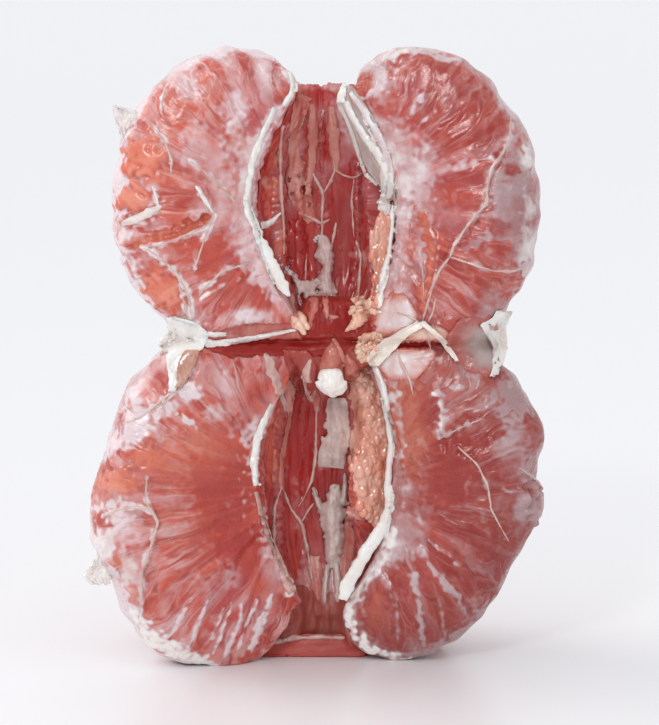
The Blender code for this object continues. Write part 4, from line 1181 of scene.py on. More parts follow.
# shreds of the white core that stay in the hollows
coreShreds = {
    "upper_core_shred": ("upper", "upper_core", chalk, [
        {"path": [(315, 238, 2, 0.6), (323, 243, 6, 1.3), (327, 258, 8, 1.7), (327, 272, 7, 1.8), (327, 285, 8, 1.7),
                  (328, 300, 10, 1.4), (326, 312, 11, 0.9)], "ragged": 0.35},
        {"path": [(287, 268, 3, 0.5), (298, 282, 6, 0.9), (308, 292, 8, 1.0), (317, 300, 8, 1.0)], "ragged": 0.6},
        {"path": [(322, 300, 4, 1.0), (320, 315, 3, 0.8), (319, 328, 1.5, 0.5)]},
        {"path": [(330, 300, 4, 1.0), (329, 312, 3, 0.8), (328, 326, 1.5, 0.5)]},
    ]),
    "lower_core_shred_top": ("lower", "lower_core_top", palePith, [
        {"path": [(337, 398, 9, 1.4), (337, 412, 12, 1.6), (336, 435, 14, 1.6), (333, 455, 14, 1.5),
                  (332, 468, 14, 1.3)],
         "holes": [(324, 416, 2.5, 6), (324, 433, 3, 4.5), (322, 404, 2.5, 3)], "ragged": 0.06},
    ]),
    "lower_core_shred_bottom": ("lower", "lower_core_bottom", palePith, [
        {"path": [(338, 485, 3, 0.9), (334, 495, 8, 1.4), (332, 507, 11, 1.8), (333, 520, 11, 1.9),
                  (335, 540, 9, 1.8), (333, 555, 8, 1.6), (334, 568, 6, 1.2)], "ragged": 0.25},
        {"path": [(313, 488, 1.5, 0.5), (317, 500, 3, 0.9), (322, 512, 4, 1.2)]},
        {"path": [(345, 474, 1.5, 0.6), (345, 488, 3, 1.1), (343, 505, 5, 1.5)]},
        {"path": [(336, 560, 4, 1.3), (338, 582, 4, 0.9), (338, 606, 3, 0.5)]},
        {"path": [(328, 565, 3, 1.1), (325, 585, 3, 0.8), (324, 604, 2.5, 0.5)]},
    ]),
}
coreStand = 1.9  # the shreds stand off the lining, where their solids are
for name, (half, node, material, films) in coreShreds.items():
    makeLaid(name, material, lambda bm: [
        layFilm(bm, [(x, y, wide, coreStand * lift) for x, y, wide, lift in film["path"]], hollowKeys[half],
                31 + number, film.get("ragged", 0.3), 0.5, film.get("holes", ()))
        for number, film in enumerate(films)], 0.0012, [node])
print("core shreds laid")

# a drape's torn edges, where it is held, how deep it may sink, and from where its rim turns in and gets thin
drape = {"floor": 0.0006, "tearSize": 5, "hold": 1.5, "holdRounds": 6, "deepest": 0.0008, "tucked": (0.72, 1.0),
         "thinSide": (0.1, 0.7), "thinRim": (0.35, 0.85)}


def layDrape(bm, rows, seed, keys=None, edge=None, plane=None, lift=0.4, crumple=0.4, ragged=1.0, grainSize=(9, 9),
             rounds=10, thin=0.0, tuck=0.0, columns=26, count=36):
    # a skin hung over what is behind it, over rows of (y, x from, x to); it may hang from the edge of another skin
    # by (skin, metres off it at the left), or be held on a plane that faces the camera
    thinness = bm.verts.layers.float.get("thin") or bm.verts.layers.float.new("thin")
    grid = bmesh.ops.create_grid(bm, x_segments=columns, y_segments=count, size=1)["verts"]
    ys, lefts, rights = np.array(rows, float).T
    spots, index = {}, {}
    behind, start = np.full((count + 1, columns + 1), np.inf), np.full((count + 1, columns + 1), np.nan)
    for vertex in grid:
        i, j = round((1 - vertex.co.y) / 2 * count), round((vertex.co.x + 1) / 2 * columns)
        y = ys[0] + (ys[-1] - ys[0]) * i / count
        left, right = np.interp(y, ys, lefts), np.interp(y, ys, rights)
        away = abs(2 * j / columns - 1) ** 3
        spot = (left + (right - left) * j / columns
                + ragged * away * roughness(y / drape["tearSize"], math.copysign(4, j - columns / 2), seed),
                y + ragged * roughness(j / drape["tearSize"], i // (count / 2), seed + 4)
                * abs(2 * i / count - 1) ** 3)
        spots[vertex], index[vertex] = spot, (i, j)
        distance = castSpot(spot, keys)[0] if keys != [] else None
        if distance is not None:
            behind[i, j] = start[i, j] = distance - lift * mm
        if plane is not None and (distance is None or edge is None and keys is not None):
            ray = sightLine(spot)
            start[i, j] = (plane[0] + (plane[1] - plane[0]) * i / count - eye.y) / ray.y
    if edge:
        heights = np.linspace(ys[0], ys[-1], count + 1)
        edgeSpots = [(np.interp(y, ys, rights) + drape["hold"], y) for y in heights]
        held = castLine(edgeSpots, [edge[0]], drape["holdRounds"])
        start = held[:, None] + edge[1] * (1 - np.linspace(0, 1, columns + 1))[None, :]
    start[np.isnan(start)] = np.nanmean(start)
    surface = np.minimum(start, behind)
    for _ in range(rounds):
        padded = np.pad(surface, 1, mode="edge")
        surface = (padded[:-2, 1:-1] + padded[2:, 1:-1] + padded[1:-1, :-2] + padded[1:-1, 2:]) / 4
        surface = np.minimum(surface, behind)
    for vertex in grid:
        i, j = index[vertex]
        fold = crumple * mm * roughness(spots[vertex][0] / grainSize[0], spots[vertex][1] / grainSize[1], seed + 7)
        rimShare = max(abs(2 * i / count - 1), abs(2 * j / columns - 1) ** 2)
        reach = surface[i, j] - max(fold, -abs(lift) * drape["deepest"])
        reach += tuck * mm * smoothStep(*drape["tucked"], rimShare)
        vertex.co = eye + sightLine(spots[vertex]) * reach
        vertex.co.z = max(vertex.co.z, drape["floor"])  # its wall ends on the floor
        vertex[thinness] = max(thin * (1 - smoothStep(*drape["thinSide"], j / columns)),
                               bool(tuck) * smoothStep(*drape["thinRim"], rimShare))
    turnToCamera(bm, {face for vertex in grid for face in vertex.link_faces}, sight)


hollowEdgeSkin = [(86, 345, 352), (100, 340, 362), (115, 346, 372), (130, 353, 380), (145, 358, 387), (158, 362, 391),
                  (170, 367, 393), (184, 378, 394), (200, 386, 395)]
addTree("edge_skin", makeLaid("upper_right_skin", waistFilm, lambda bm: layDrape(
    bm, hollowEdgeSkin, 9, None, ("upper_segment_1", 0.0055), lift=0.3, crumple=0.5), 0.0003))

makeLaid("upper_right_veil_edge", veilSkin, lambda bm: layFilm(
    bm, [(350, 92, 2, 0.3), (362, 108, 4, 0.4), (373, 127, 5, 0.4), (382, 143, 5.5, 0.4), (389, 160, 4.5, 0.4),
         (392, 178, 2.5, 0.3)],
    ["edge_skin"], 77, 0.3, 0.2), 0.0003)

# cords and thick edges of pith on the four end segments
lobeCords = [
    [(511, 114, 0.45), (510, 136, 0.5), (503, 152, 0.5), (491, 169, 0.55), (487, 189, 0.5), (487, 203, 0.5),
     (477, 214, 0.5), (467, 226, 0.5), (454, 246, 0.5), (450, 257, 0.5), (440, 269, 0.45), (432, 289, 0.5),
     (424, 316, 0.55), (421, 326, 0.5)],
    [(450, 257, 0.4), (469, 263, 0.42), (493, 271, 0.42), (514, 271, 0.4), (528, 266, 0.35)],
    [(147, 477, 0.4), (145, 500, 0.48), (149, 507, 0.5), (158, 522, 0.5), (151, 546, 0.5), (142, 571, 0.45),
     (142, 593, 0.45), (138, 620, 0.4)],
    [(102, 517, 0.35), (125, 507, 0.4), (147, 508, 0.4), (157, 520, 0.4)],
    [(457, 446, 0.35), (477, 464, 0.4), (488, 486, 0.42), (491, 509, 0.42), (500, 526, 0.38), (509, 542, 0.3)],
    [(151, 124, 0.3), (164, 140, 0.38), (172, 161, 0.4), (170, 175, 0.35)],
    [(167, 84, 0.25), (163, 97, 0.3), (161, 114, 0.28)],
    [(141, 246, 0.35), (158, 256, 0.42), (176, 273, 0.5), (188, 293, 0.55), (192, 318, 0.5)],
    [(178, 283, 0.3), (184, 301, 0.38), (190, 322, 0.35)],
    [(215, 214, 0.45), (207, 226, 0.45), (174, 240, 0.38), (158, 246, 0.35), (141, 246, 0.3)],
    [(213, 218, 0.4), (204, 240, 0.42), (194, 271, 0.35)],
    [(249, 263, 0.3), (223, 271, 0.38), (204, 288, 0.45), (199, 296, 0.4)],
    [(190, 161, 0.3), (205, 172, 0.4), (219, 185, 0.45), (236, 203, 0.4)],
    [(158, 413, 0.35), (176, 388, 0.42), (192, 368, 0.42), (196, 355, 0.35)],
    [(520, 468, 0.3), (536, 480, 0.35), (543, 488, 0.3)],
    [(198, 352, 0.3), (190, 370, 0.4), (180, 388, 0.5), (168, 400, 0.45), (152, 410, 0.35)],
    [(176, 388, 0.4), (160, 402, 0.4), (140, 418, 0.4), (122, 424, 0.3)],
    [(420, 248, 0.22), (423, 275, 0.28), (424, 297, 0.25)],
    [(439, 439, 0.25), (464, 426, 0.3), (482, 419, 0.25)],
]
thickEdges = [
    {"on": "lower_segment_1", "path": [(371, 357, 2.5, 0.7), (378, 375, 3.6, 0.9), (384, 392, 3.8, 0.9),
                                       (389, 426, 3.6, 0.9), (392, 444, 4, 0.9), (389, 466, 3, 0.8),
                                       (388, 486, 4, 0.8), (391, 507, 6, 0.8), (384, 526, 7, 0.8),
                                       (370, 546, 6.5, 0.8), (357, 567, 6.5, 0.8), (347, 585, 7, 0.8),
                                       (343, 600, 5, 0.7)], "ragged": 0.12},
    {"path": [(346, 84, 4, 0.7), (341, 98, 4.4, 0.8), (342, 108, 4, 0.8), (350, 126, 3.4, 0.8), (356, 144, 3.2, 0.8),
              (361, 160, 3, 0.8), (366, 174, 2.4, 0.8), (378, 184, 2.6, 0.7)], "ragged": 0.15},
    {"path": [(345, 102, 3.4, 0.7), (355, 122, 3.6, 0.8), (365, 137, 3.8, 0.8), (376, 152, 4.2, 0.9),
              (384, 166, 4.6, 0.9), (384, 182, 4.2, 0.9), (385, 198, 2.6, 0.7), (384, 210, 1.5, 0.5)],
     "ragged": 0.15},
    {"on": "upper_segment_8", "path": [(275, 108, 2.5, 0.5), (262, 135, 3.5, 0.7), (253, 160, 3.5, 0.5),
                                       (249, 185, 3.8, 0.5), (247, 203, 4, 0.6)], "ragged": 0.2},
    {"on": "upper_segment_8", "path": [(246, 200, 4, 0.8), (250, 216, 4, 1.0), (256, 230, 4.5, 0.8),
                                       (263, 248, 6.5, 0.9), (273, 268, 7, 0.9), (284, 288, 5, 0.8),
                                       (289, 296, 2, 0.5)], "ragged": 0.22},
    {"on": "upper_segment_8", "path": [(289, 72, 2, 0.5), (293, 84, 3, 0.8), (291, 95, 3.5, 0.8), (284, 106, 3, 0.6)],
     "ragged": 0.2},
    {"on": "lower_segment_7", "path": [(272, 404, 2, 0.6), (265, 419, 3.5, 0.9), (257, 440, 4.2, 0.9),
                                       (254, 464, 4.2, 0.9), (256, 486, 3, 0.7)], "ragged": 0.08},
    {"on": "lower_segment_7", "path": [(256, 492, 2, 0.5), (262, 515, 3, 0.7), (270, 540, 3.5, 0.8),
                                       (278, 560, 4.5, 1.0), (286, 580, 5, 1.0), (292, 593, 4, 0.8)], "ragged": 0.1,
     "piece": "faint_edge"},
    {"on": "upper_segment_8", "path": [(196, 186, 1.4, 0.6), (201, 194, 2.8, 0.9), (207, 203, 2.6, 0.9),
                                       (213, 213, 1.2, 0.6)], "ragged": 0.15},
    {"on": "upper_segment_8", "path": [(121, 224, 2, 0.4), (134, 220, 5, 0.5), (148, 213, 5.5, 0.5),
                                       (161, 206, 1.5, 0.4)], "ragged": 0.2, "piece": "skin_flap"},
    {"on": "upper_segment_8", "path": [(152, 186, 1.2, 0.4), (156, 196, 1.8, 0.6), (158, 206, 1.2, 0.4)],
     "ragged": 0.15},
    {"path": [(256, 230, 2.5, 0.6), (264, 225, 3.5, 0.8), (273, 221, 3.2, 0.8), (281, 213, 1.5, 0.4)],
     "ragged": 0.25},
    {"path": [(389, 172, 3, 0.5), (391, 186, 6, 0.7), (388, 200, 7, 0.8), (386, 214, 5, 0.7), (387, 228, 3, 0.5)],
     "ragged": 0.5},
    {"on": "upper_segment_1", "path": [(394, 205, 3, 0.7), (392, 230, 2.5, 0.7), (389, 256, 2.5, 0.7),
                                       (383, 280, 3.5, 0.7), (379, 300, 4, 0.8), (382, 320, 4, 0.6)], "ragged": 0.3},
]
makeLaid("skin_cords", cordSkin, lambda bm: [
    layStrand(bm, [(x, y, 0.75 * r) for x, y, r in path], None, 60 + number, 0.55)
    for number, path in enumerate(lobeCords)])
for name, material in {"inner_edges": edgePith, "faint_edge": webCord, "skin_flap": flapSkin}.items():
    makeLaid(name, material, lambda bm: [
        layFilm(bm, film["path"], [film["on"]] if "on" in film else None, 80 + number, film["ragged"], 0.15)
        for number, film in enumerate(thickEdges) if film.get("piece", "inner_edges") == name], 0.0006)
print("cords laid")

# loose juice sacs where a segment is torn open
lens = [(352, 378), (366, 366), (378, 384), (385, 402), (389, 430), (390, 450), (386, 470), (385, 492), (388, 512),
        (378, 528), (366, 516), (358, 500), (353, 478), (349, 440), (348, 405)]
sliver = [(371, 224), (384, 214), (391, 224), (391, 244), (388, 262), (382, 280), (377, 306), (370, 306), (372, 275),
          (369, 250)]


def laySacPatches(bm):
    laySacs(bm, spotsIn(lens, 6.6, 1), ["lower_segment_2", "lower_lining"], 0.0015, 1, 1.2, 0.70)
    laySacs(bm, spotsIn(sliver, 5.2, 2), None, 0.0011, 2, 1.5, 0.64)


addTree("sacs", makeLaid("juice_sac_patches", juicy, laySacPatches))
lensRows = [(364, 363, 369), (378, 353, 376), (395, 349, 382), (410, 347, 386), (430, 347, 390), (450, 350, 391),
            (470, 352, 387), (485, 354, 386), (500, 358, 388), (515, 364, 386), (530, 376, 382)]
sliverRows = [(216, 372, 386), (230, 370, 391), (250, 369, 390), (270, 370, 385), (290, 371, 380), (308, 370, 376)]
makeLaid("lens_skin", juicy, lambda bm: [
    layDrape(bm, lensRows, 15, ["sacs", "lower_segment_2", "lower_lining"], lift=-0.15, crumple=0.25, ragged=0.5,
             grainSize=(5, 5), rounds=14, columns=40, count=120),
    layDrape(bm, sliverRows, 16, ["sacs", "upper_segment_1", "upper_lining"], lift=-0.15, crumple=0.25, ragged=0.5,
             grainSize=(4, 7), rounds=12, columns=24, count=80)], 0.0003)
trees.pop("sacs")


def layCrumbs(bm):
    laySacs(bm, spotsIn([(358, 342), (364, 334), (380, 333), (388, 341), (382, 352), (370, 360), (360, 362)],
                        3.0, 30), None, 0.0007, 30, 1.7, 0.35, (0.5, 0, 0.4))
    laySacs(bm, spotsIn([(350, 312), (352, 300), (362, 296), (368, 302), (362, 312)], 3.4, 31), None, 0.0008, 31, 1.7,
            0.35, (0.5, 0, 0.4))
    layStrand(bm, [(291, 316, 0.6), (297, 323, 1.1), (306, 335, 0.9)], None, 35, 0.1)
    layStrand(bm, [(297, 311, 0.6), (303, 319, 1.1), (309, 330, 0.8)], None, 36, 0.1)
    layFilm(bm, [(356, 352, 2, 0.5), (362, 345, 6, 1.2), (370, 341, 8, 1.5), (379, 339, 7, 1.2), (388, 341, 3, 0.6)],
            None, 34, 0.5, 1.0)
    layFilm(bm, [(345, 331, 1.0, 0.6), (352, 326, 4, 1.4), (360, 319, 8, 1.8), (369, 311, 9, 1.5),
                 (376, 305, 6, 0.8)], None, 33, 0.35, 0.8)


print("juice sacs laid")

# the torn pulp at the pole, round which the halves hang together
pole = {"detail": 6, "reach": (1.10, 0.55, 0.96), "rough": 0.0009, "grain": 0.005, "strands": 0.0007,
        "strandSize": (6, 0.012), "crease": 0.0016, "creaseWidth": 0.0013}


def makePole():
    low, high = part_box("pole_joint")
    middle, reach = (Vector(low) + Vector(high)) / 2, (Vector(high) - Vector(low)) / 2
    bm = bmesh.new()
    bmesh.ops.create_icosphere(bm, subdivisions=pole["detail"], radius=1)
    for vertex in bm.verts:
        turn = math.atan2(vertex.co.y, vertex.co.x)
        place = middle + Vector(vertex.co[i] * reach[i] * pole["reach"][i] for i in range(3))
        lump = pole["rough"] * noise.noise(place / pole["grain"])
        across, down = pole["strandSize"]
        lump += pole["strands"] * noise.noise(Vector((turn * across, place.z / down, 3)))
        lump -= pole["crease"] * math.exp(-(((place.z - seamHeight(place.x, place.y)) / pole["creaseWidth"]) ** 2))
        vertex.co = place + vertex.co * lump
    return keepPiece(meshFrom(bm, "pole_pulp"), "pole_pulp", pulp, ["pole_joint"])


poleKeys = list(trees)
addTree("pole", makePole())
poleRows = {
    "upper": [(296, 308, 348), (304, 302, 356), (314, 298, 364), (324, 294, 374), (334, 290, 382), (343, 288, 386)],
    "lower": [(341, 284, 384), (346, 282, 384), (354, 284, 380), (362, 288, 374), (371, 296, 360), (382, 304, 346),
              (390, 308, 340)],
}
addTree("pole_skin", makeLaid("pole_skin", crevice, lambda bm: layDrape(
    bm, poleRows["upper"], 25, poleKeys + ["pole"], plane=(-0.0150, -0.0172), lift=0.3, crumple=0.7, ragged=1.0,
    grainSize=(8, 30), rounds=40, tuck=3.5, columns=80, count=60), 0.0004))
addTree("pole_lip", makeLaid("pole_lip", lip, lambda bm: layDrape(
    bm, poleRows["lower"], 26, poleKeys + ["pole", "pole_skin"], plane=(-0.0180, -0.0165), lift=0.4, crumple=0.7,
    ragged=1.0, grainSize=(12, 20), rounds=40, tuck=3.5, columns=80, count=60), 0.0004))
poleFilms = [
    {"path": [(290, 294, 3, 0.6), (292, 306, 5, 0.8), (295, 318, 4, 0.7), (299, 329, 2.5, 0.5)]},
    {"path": [(313, 292, 4, 0.8), (314, 304, 4.5, 0.8), (311, 316, 3, 0.6), (308, 328, 1.5, 0.4)]},
    {"path": [(324, 294, 3, 0.8), (325, 306, 3, 0.7), (328, 318, 2, 0.5)]},
    {"path": [(330, 317, 2, 0.5), (338, 316, 1.6, 0.5)]},
]
makeLaid("pole_shreds", web, lambda bm: [
    layFilm(bm, film["path"], None, 210 + number, 0.5, 0.4) for number, film in enumerate(poleFilms)], 0.0004)
makeLaid("torn_crumbs", cream, layCrumbs)
makeLaid("pole_flap", amber, lambda bm: [
    layFilm(bm, [(333, 338, 1.2, 0.4), (332.5, 344, 4.5, 0.9), (332, 352, 8.5, 1.3), (332, 360, 11.5, 1.5),
                 (331, 368, 12.5, 1.5), (331, 376, 12, 1.0)], None, 5, 0.04, 0.3),
    layStrand(bm, [(333, 338, 0.35), (338, 347, 0.4), (342, 357, 0.4), (346, 366, 0.4)], None, 7, 0.2),
    layFilm(bm, [(346, 355, 3, 1.0), (350, 364, 6.5, 1.5), (353, 374, 7, 1.5), (354, 383, 5, 1.0)], None, 6, 0.2,
            0.5)], 0.0005)
lump = {"at": (331, 381), "depth": -0.0180, "reach": (0.0035, 0.0030, 0.0043), "rough": 0.0010, "grain": 0.0042,
        "fineShare": 0.35, "fineGrain": 0.0012, "swell": 0.25}


def makeLump():
    # a crumb of white pith hangs below the pole
    ray = sightLine(lump["at"])
    middle = eye + ray * ((lump["depth"] - eye.y) / ray.y)
    bm = bmesh.new()
    bmesh.ops.create_icosphere(bm, subdivisions=5, radius=1)
    for vertex in bm.verts:
        low = 1 + lump["swell"] * (vertex.co.z < 0)  # wider at its lower end
        x, y, z = (vertex.co[i] * lump["reach"][i] for i in range(3))
        place = middle + Vector((x * low, y, z))
        rough = noise.noise(place / lump["grain"]) + lump["fineShare"] * noise.noise(place / lump["fineGrain"])
        vertex.co = place + vertex.co * lump["rough"] * rough
    keepPiece(meshFrom(bm, "core_lump"), "core_lump", edgePith)


makeLump()

# red skin along the seam, and the skin that closes the fruit below the lower hollow, with a red band under it that
# stands in for the red glow on the floor: painted glow
seamSkins = {
    "left_crevice": (crevice, [(334, 262, 336), (339, 214, 352), (345, 198, 358), (351, 206, 352), (357, 228, 330)],
                     0.4, 0.5),
    "upper_left_lip": (lipVeil, [(322, 250, 290), (329, 224, 300), (335, 208, 305), (341, 205, 306)], 0.5, 1.6),
    "lower_left_lip": (lip, [(346, 280, 302), (354, 282, 312), (364, 286, 317), (375, 289, 318), (386, 293, 315),
                             (395, 298, 310)], 0.5, 1.8),
    "right_crevice": (crevice, [(337, 352, 430), (344, 350, 440), (351, 354, 430)], 0.4, 0.5),
    "upper_right_veil": (veilSkin, [(290, 392, 402), (302, 382, 412), (314, 374, 420), (324, 372, 418),
                                    (332, 374, 402), (340, 376, 390)], 0.5, 1.0),
    "upper_right_lip": (salmon, [(324, 410, 436), (330, 396, 448), (337, 386, 454), (342, 382, 444)], 0.8, 1.2),
    "lower_right_lip": (veilSkin, [(345, 384, 428), (351, 372, 440), (359, 368, 438), (369, 378, 428),
                                   (384, 390, 414)], 0.5, 1.2),
}
for number, (name, (look, rows, lift, tuck)) in enumerate(seamSkins.items()):
    addTree(name, makeLaid(name, look, lambda bm: layDrape(
        bm, rows, 141 + number, lift=lift, tuck=tuck, crumple=0.4, ragged=3.0, grainSize=(16, 8), rounds=12,
        columns=70, count=30), 0.0004))
lipFilms = [
    [(265, 354, 1.5, 0.3), (269, 362, 4, 0.5), (273, 373, 5.5, 0.5), (278, 388, 4.5, 0.5), (284, 401, 3.5, 0.5),
     (286, 412, 1.5, 0.3)],
    [(310, 360, 1.5, 0.3), (306, 374, 4, 0.6), (306, 388, 4.5, 0.6), (312, 399, 3, 0.5), (320, 402, 1.5, 0.4)],
]
makeLaid("lip_films", webCord, lambda bm: [
    layFilm(bm, path, None, 230 + number, 0.3, 0.3) for number, path in enumerate(lipFilms)], 0.0004)
bellyRows = [(586, 290, 350), (594, 286, 350), (606, 276, 352), (620, 268, 356), (634, 262, 362), (642, 258, 364),
             (650, 256, 366), (657, 258, 362)]
bellyGlowRows = [(634, 262, 362), (641, 256, 366), (648, 250, 366), (654, 244, 366), (659, 240, 362)]
addTree("belly", makeLaid("belly", bellySkin, lambda bm: layDrape(
    bm, bellyRows, 151, hollowKeys["lower"], plane=(0.0005, -0.0085), lift=0.3, crumple=0.6, ragged=2.5,
    grainSize=(8, 36), rounds=24, tuck=0.8, columns=60, count=50), 0.0005))
# painted glow: a red band down to the floor where the fruit's red light falls
addTree("belly_glow_band", makeLaid("belly_glow_band", bellyGlowSkin, lambda bm: layDrape(
    bm, bellyGlowRows, 153, hollowKeys["lower"], plane=(-0.0090, -0.0112), lift=0.3, crumple=0.25, ragged=1.5,
    grainSize=(50, 16), rounds=6, columns=60, count=20), 0.0005))
makeLaid("belly_rim", webCord, lambda bm: layFilm(
    bm, [(262, 645, 1.5, 0.4), (278, 641, 2.6, 0.5), (298, 638, 2.4, 0.5), (320, 637, 2.0, 0.4),
         (344, 638, 1.5, 0.3)], ["belly", "belly_glow_band"], 152, 0.3, 0.4), 0.0003)

# scraps of pith and skin at the seam, the waist and the outer edge
seamFilms = [
    {"path": [(178, 343, 6, 1.0), (196, 344, 6.5, 1.2), (214, 343.5, 4.5, 1.0), (238, 341, 3.2, 0.9),
              (262, 336.5, 2.6, 0.8), (284, 332, 1.8, 0.6), (304, 328, 1.0, 0.4)], "ragged": 0.15},
    {"path": [(186, 336, 5, 0.8), (206, 335, 3.5, 0.8), (226, 334, 1.5, 0.6)], "ragged": 0.3},
]
makeLaid("seam_strand", pith, lambda bm: [
    layFilm(bm, film["path"], None, 100 + number, film["ragged"], 0.5) for number, film in enumerate(seamFilms)],
    0.0008, ["seam_pith"])


# ragged scraps, each between two lines on the picture: how far down, and where to the side
scraps = {
    "left_waist_lump": {"node": "left_waist_pith", "left": ((0, 0.4, 1), (168, 160, 162)),
                        "right": ((0, 0.5, 1), (176, 186, 178)), "reach": (328, 366), "seed": 5,
                        "crumple": 0.0016, "thickness": 0.0010},
    "upper_left_scrap": {"node": "upper_left_flap", "left": ((0, 0.3, 1), (112, 114, 124)),
                         "right": ((0, 0.2, 1), (118, 140, 136)), "reach": (106, 142), "seed": 8,
                         "crumple": 0.0010, "thickness": 0.0004},
    "lower_left_scrap": {"node": "lower_left_flap", "left": ((0, 0.5, 0.8, 1), (100, 92, 83, 92)),
                         "right": ((0, 0.5, 1), (106, 112, 110)), "reach": (546, 584), "seed": 9,
                         "crumple": 0.0010, "thickness": 0.0004},
}


scrapShape = {"grid": 40, "tear": 3.0, "tears": 9, "endTear": 2, "endTears": 6, "folds": (3.2, 4.1)}


def makeScrap(name, scrap):
    # a crumpled scrap that stands where its solid is
    low, high = (Vector(corner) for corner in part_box(scrap["node"]))
    (y0, y1), seed = scrap["reach"], scrap["seed"]
    bm = bmesh.new()
    bmesh.ops.create_grid(bm, x_segments=scrapShape["grid"], y_segments=scrapShape["grid"], size=1)
    for vertex in bm.verts:
        share = (1 - vertex.co.y) / 2
        x0, x1 = np.interp(share, *scrap["left"]), np.interp(share, *scrap["right"])
        across = (vertex.co.x + 1) / 2
        edge = scrapShape["tear"] * roughness(share * scrapShape["tears"], math.copysign(5, vertex.co.x), seed)
        edge *= abs(vertex.co.x) ** 2
        end = scrapShape["endTear"] * roughness(across * scrapShape["endTears"], 3, seed + 1)
        spot = (x0 + (x1 - x0) * across + edge, y0 + (y1 - y0) * share + end)
        ray = sightLine(spot)
        foldX, foldY = across * scrapShape["folds"][0], share * scrapShape["folds"][1]
        depth = (low.y + high.y) / 2 + scrap["crumple"] * roughness(foldX, foldY, seed + 7)
        vertex.co = eye + ray * ((depth - eye.y) / ray.y)
    turnToCamera(bm, bm.faces, Vector((0, 1, 0)))
    addWall(keepPiece(meshFrom(bm, name), name, pith, [scrap["node"]]), scrap["thickness"], 0)


waistSkins = {
    "right_waist_skin": {"rows": [(314, 466, 494), (322, 456, 497), (332, 448, 499), (342, 444, 500), (352, 446, 500),
                                  (362, 454, 499), (372, 468, 497), (380, 480, 494)],
                         "look": waistFilm, "plane": (-0.0085, -0.0085), "crumple": 1.1, "thin": 1.0, "tuck": 1.4,
                         "lift": 0.9},
    "right_waist_rim": {"rows": [(312, 497, 512), (318, 492, 510), (326, 480, 506), (334, 486, 507), (345, 492, 507),
                                 (356, 493, 506), (366, 493, 501), (376, 490, 495)],
                        "look": edgePith, "plane": (-0.0095, -0.0095), "crumple": 1.0, "nodes": ["right_waist_pith"],
                        "lift": 1.3},
    "left_waist_skin": {"rows": [(318, 166, 176), (326, 168, 200), (334, 169, 208), (342, 168, 207), (350, 167, 200),
                                 (358, 166, 186), (366, 167, 180), (374, 168, 179), (382, 169, 178), (392, 169, 175)],
                        "look": edgePith, "plane": (-0.0150, -0.0150), "crumple": 0.9, "lift": 0.8},
    "left_waist_pocket": {"rows": [(350, 186, 199), (357, 180, 198), (364, 178, 195), (371, 177, 191),
                                   (379, 177, 187), (388, 176, 180)],
                          "look": tan, "plane": None, "crumple": 0.4, "lift": 1.2},
    "waist_star": {"rows": [(322, 418, 423), (328, 406, 422), (334, 396, 411), (340, 384, 404), (346, 377, 398),
                            (352, 371, 392), (359, 367, 385), (366, 370, 379)],
                   "look": creamPith, "plane": None, "crumple": 0.3, "lift": 1.2, "ragged": 0.6},
    "star_fold": {"rows": [(322, 419, 425), (328, 425, 432), (334, 432, 439), (341, 439, 446), (348, 445, 451),
                           (355, 450, 456), (361, 456, 459)],
                  "look": creamPith, "plane": None, "crumple": 0.3, "lift": 1.4, "ragged": 0.5},
}
for number, (name, skin) in enumerate(waistSkins.items()):
    makeLaid(name, skin["look"], lambda bm: layDrape(
        bm, skin["rows"], 170 + number, plane=skin["plane"], lift=skin.get("lift", 0.5), crumple=skin["crumple"],
        ragged=skin.get("ragged", 1.6), thin=skin.get("thin", 0.0), tuck=skin.get("tuck", 0.0)), 0.0005,
        skin.get("nodes", ()))
starCords = [
    [(420, 322, 0.4), (408, 316, 0.35), (396, 312, 0.3)],
    [(421, 324, 0.4), (428, 336, 0.35), (431, 350, 0.25)],
    [(396, 346, 0.35), (401, 362, 0.4), (410, 380, 0.35), (413, 394, 0.25)],
    [(436, 298, 0.25), (433, 312, 0.35), (428, 322, 0.3)],
]
makeLaid("star_cords", cordSkin, lambda bm: [
    layStrand(bm, path, None, 190 + number, 0.5) for number, path in enumerate(starCords)])
for name, scrap in scraps.items():
    makeScrap(name, scrap)
print("pith laid")

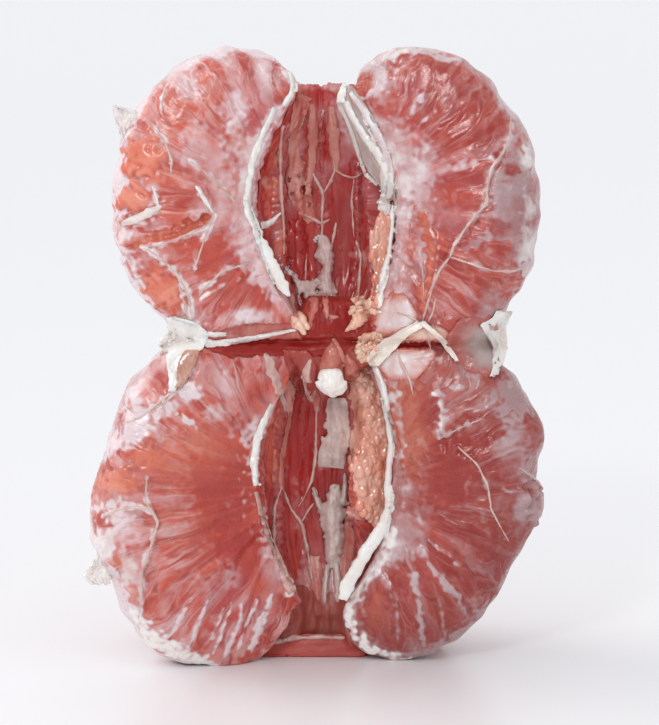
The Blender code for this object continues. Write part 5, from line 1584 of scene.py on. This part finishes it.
# the studio: a pale floor and sky, a broad light from the left behind, and two soft lamps at the camera's left
studio = {"floorRadius": 20.0, "floor": ((0.89, 0.89, 0.905), (0.90, 0.90, 0.915)), "floorRoughness": 0.32,
          "sky": (0.965, 0.975, 1.0, 1), "skyStrength": 0.86, "lightsPointAt": Vector((0, 0, 0.08))}
lights = {
    "window": {"kind": "SUN", "place": (-0.80, 0.30, 0.75), "power": 0.9, "colour": (1.0, 0.99, 0.97), "angle": 40},
    "lamp": {"kind": "AREA", "place": (-0.30, -0.80, 0.60), "power": 1.6, "colour": (1.0, 1.0, 1.0), "size": 0.16},
    "glints": {"kind": "AREA", "place": (-0.25, -0.75, 0.70), "power": 4.0, "colour": (1.0, 1.0, 1.0), "size": 0.30},
}


def makeFloor():
    bm = bmesh.new()
    bmesh.ops.create_circle(bm, cap_ends=True, segments=64, radius=studio["floorRadius"])
    mesh = meshFrom(bm, "floor")
    material, tree, shader = newMaterial("floor")
    tree.links.new(mixColour(tree, grain(tree, 3, 2), *studio["floor"]), shader.inputs["Base Color"])
    setInputs(shader, {"Roughness": studio["floorRoughness"], "Specular IOR Level": 0.5})
    mesh.materials.append(material)
    floor = bpy.data.objects.new("floor", mesh)
    bpy.context.scene.collection.objects.link(floor)


def makeLight(name, lamp):
    data = bpy.data.lights.new(name, lamp["kind"])
    if lamp["kind"] == "SUN":
        data.angle = math.radians(lamp["angle"])
    else:
        data.shape = "DISK"
        data.size = lamp["size"]
    data.energy = lamp["power"]
    data.color = lamp["colour"]
    light = bpy.data.objects.new(name, data)
    light.location = lamp["place"]
    light.rotation_euler = (studio["lightsPointAt"] - Vector(lamp["place"])).to_track_quat("-Z", "Y").to_euler()
    light.visible_diffuse = name != "glints"  # this one only adds highlights
    bpy.context.scene.collection.objects.link(light)


makeFloor()
for name, lamp in lights.items():
    makeLight(name, lamp)
world = bpy.data.worlds.new("studio")
bpy.context.scene.world = world
world.use_nodes = True
setInputs(world.node_tree.nodes["Background"], {"Color": studio["sky"], "Strength": studio["skyStrength"]})
bpy.context.scene.view_settings.view_transform = "Standard"
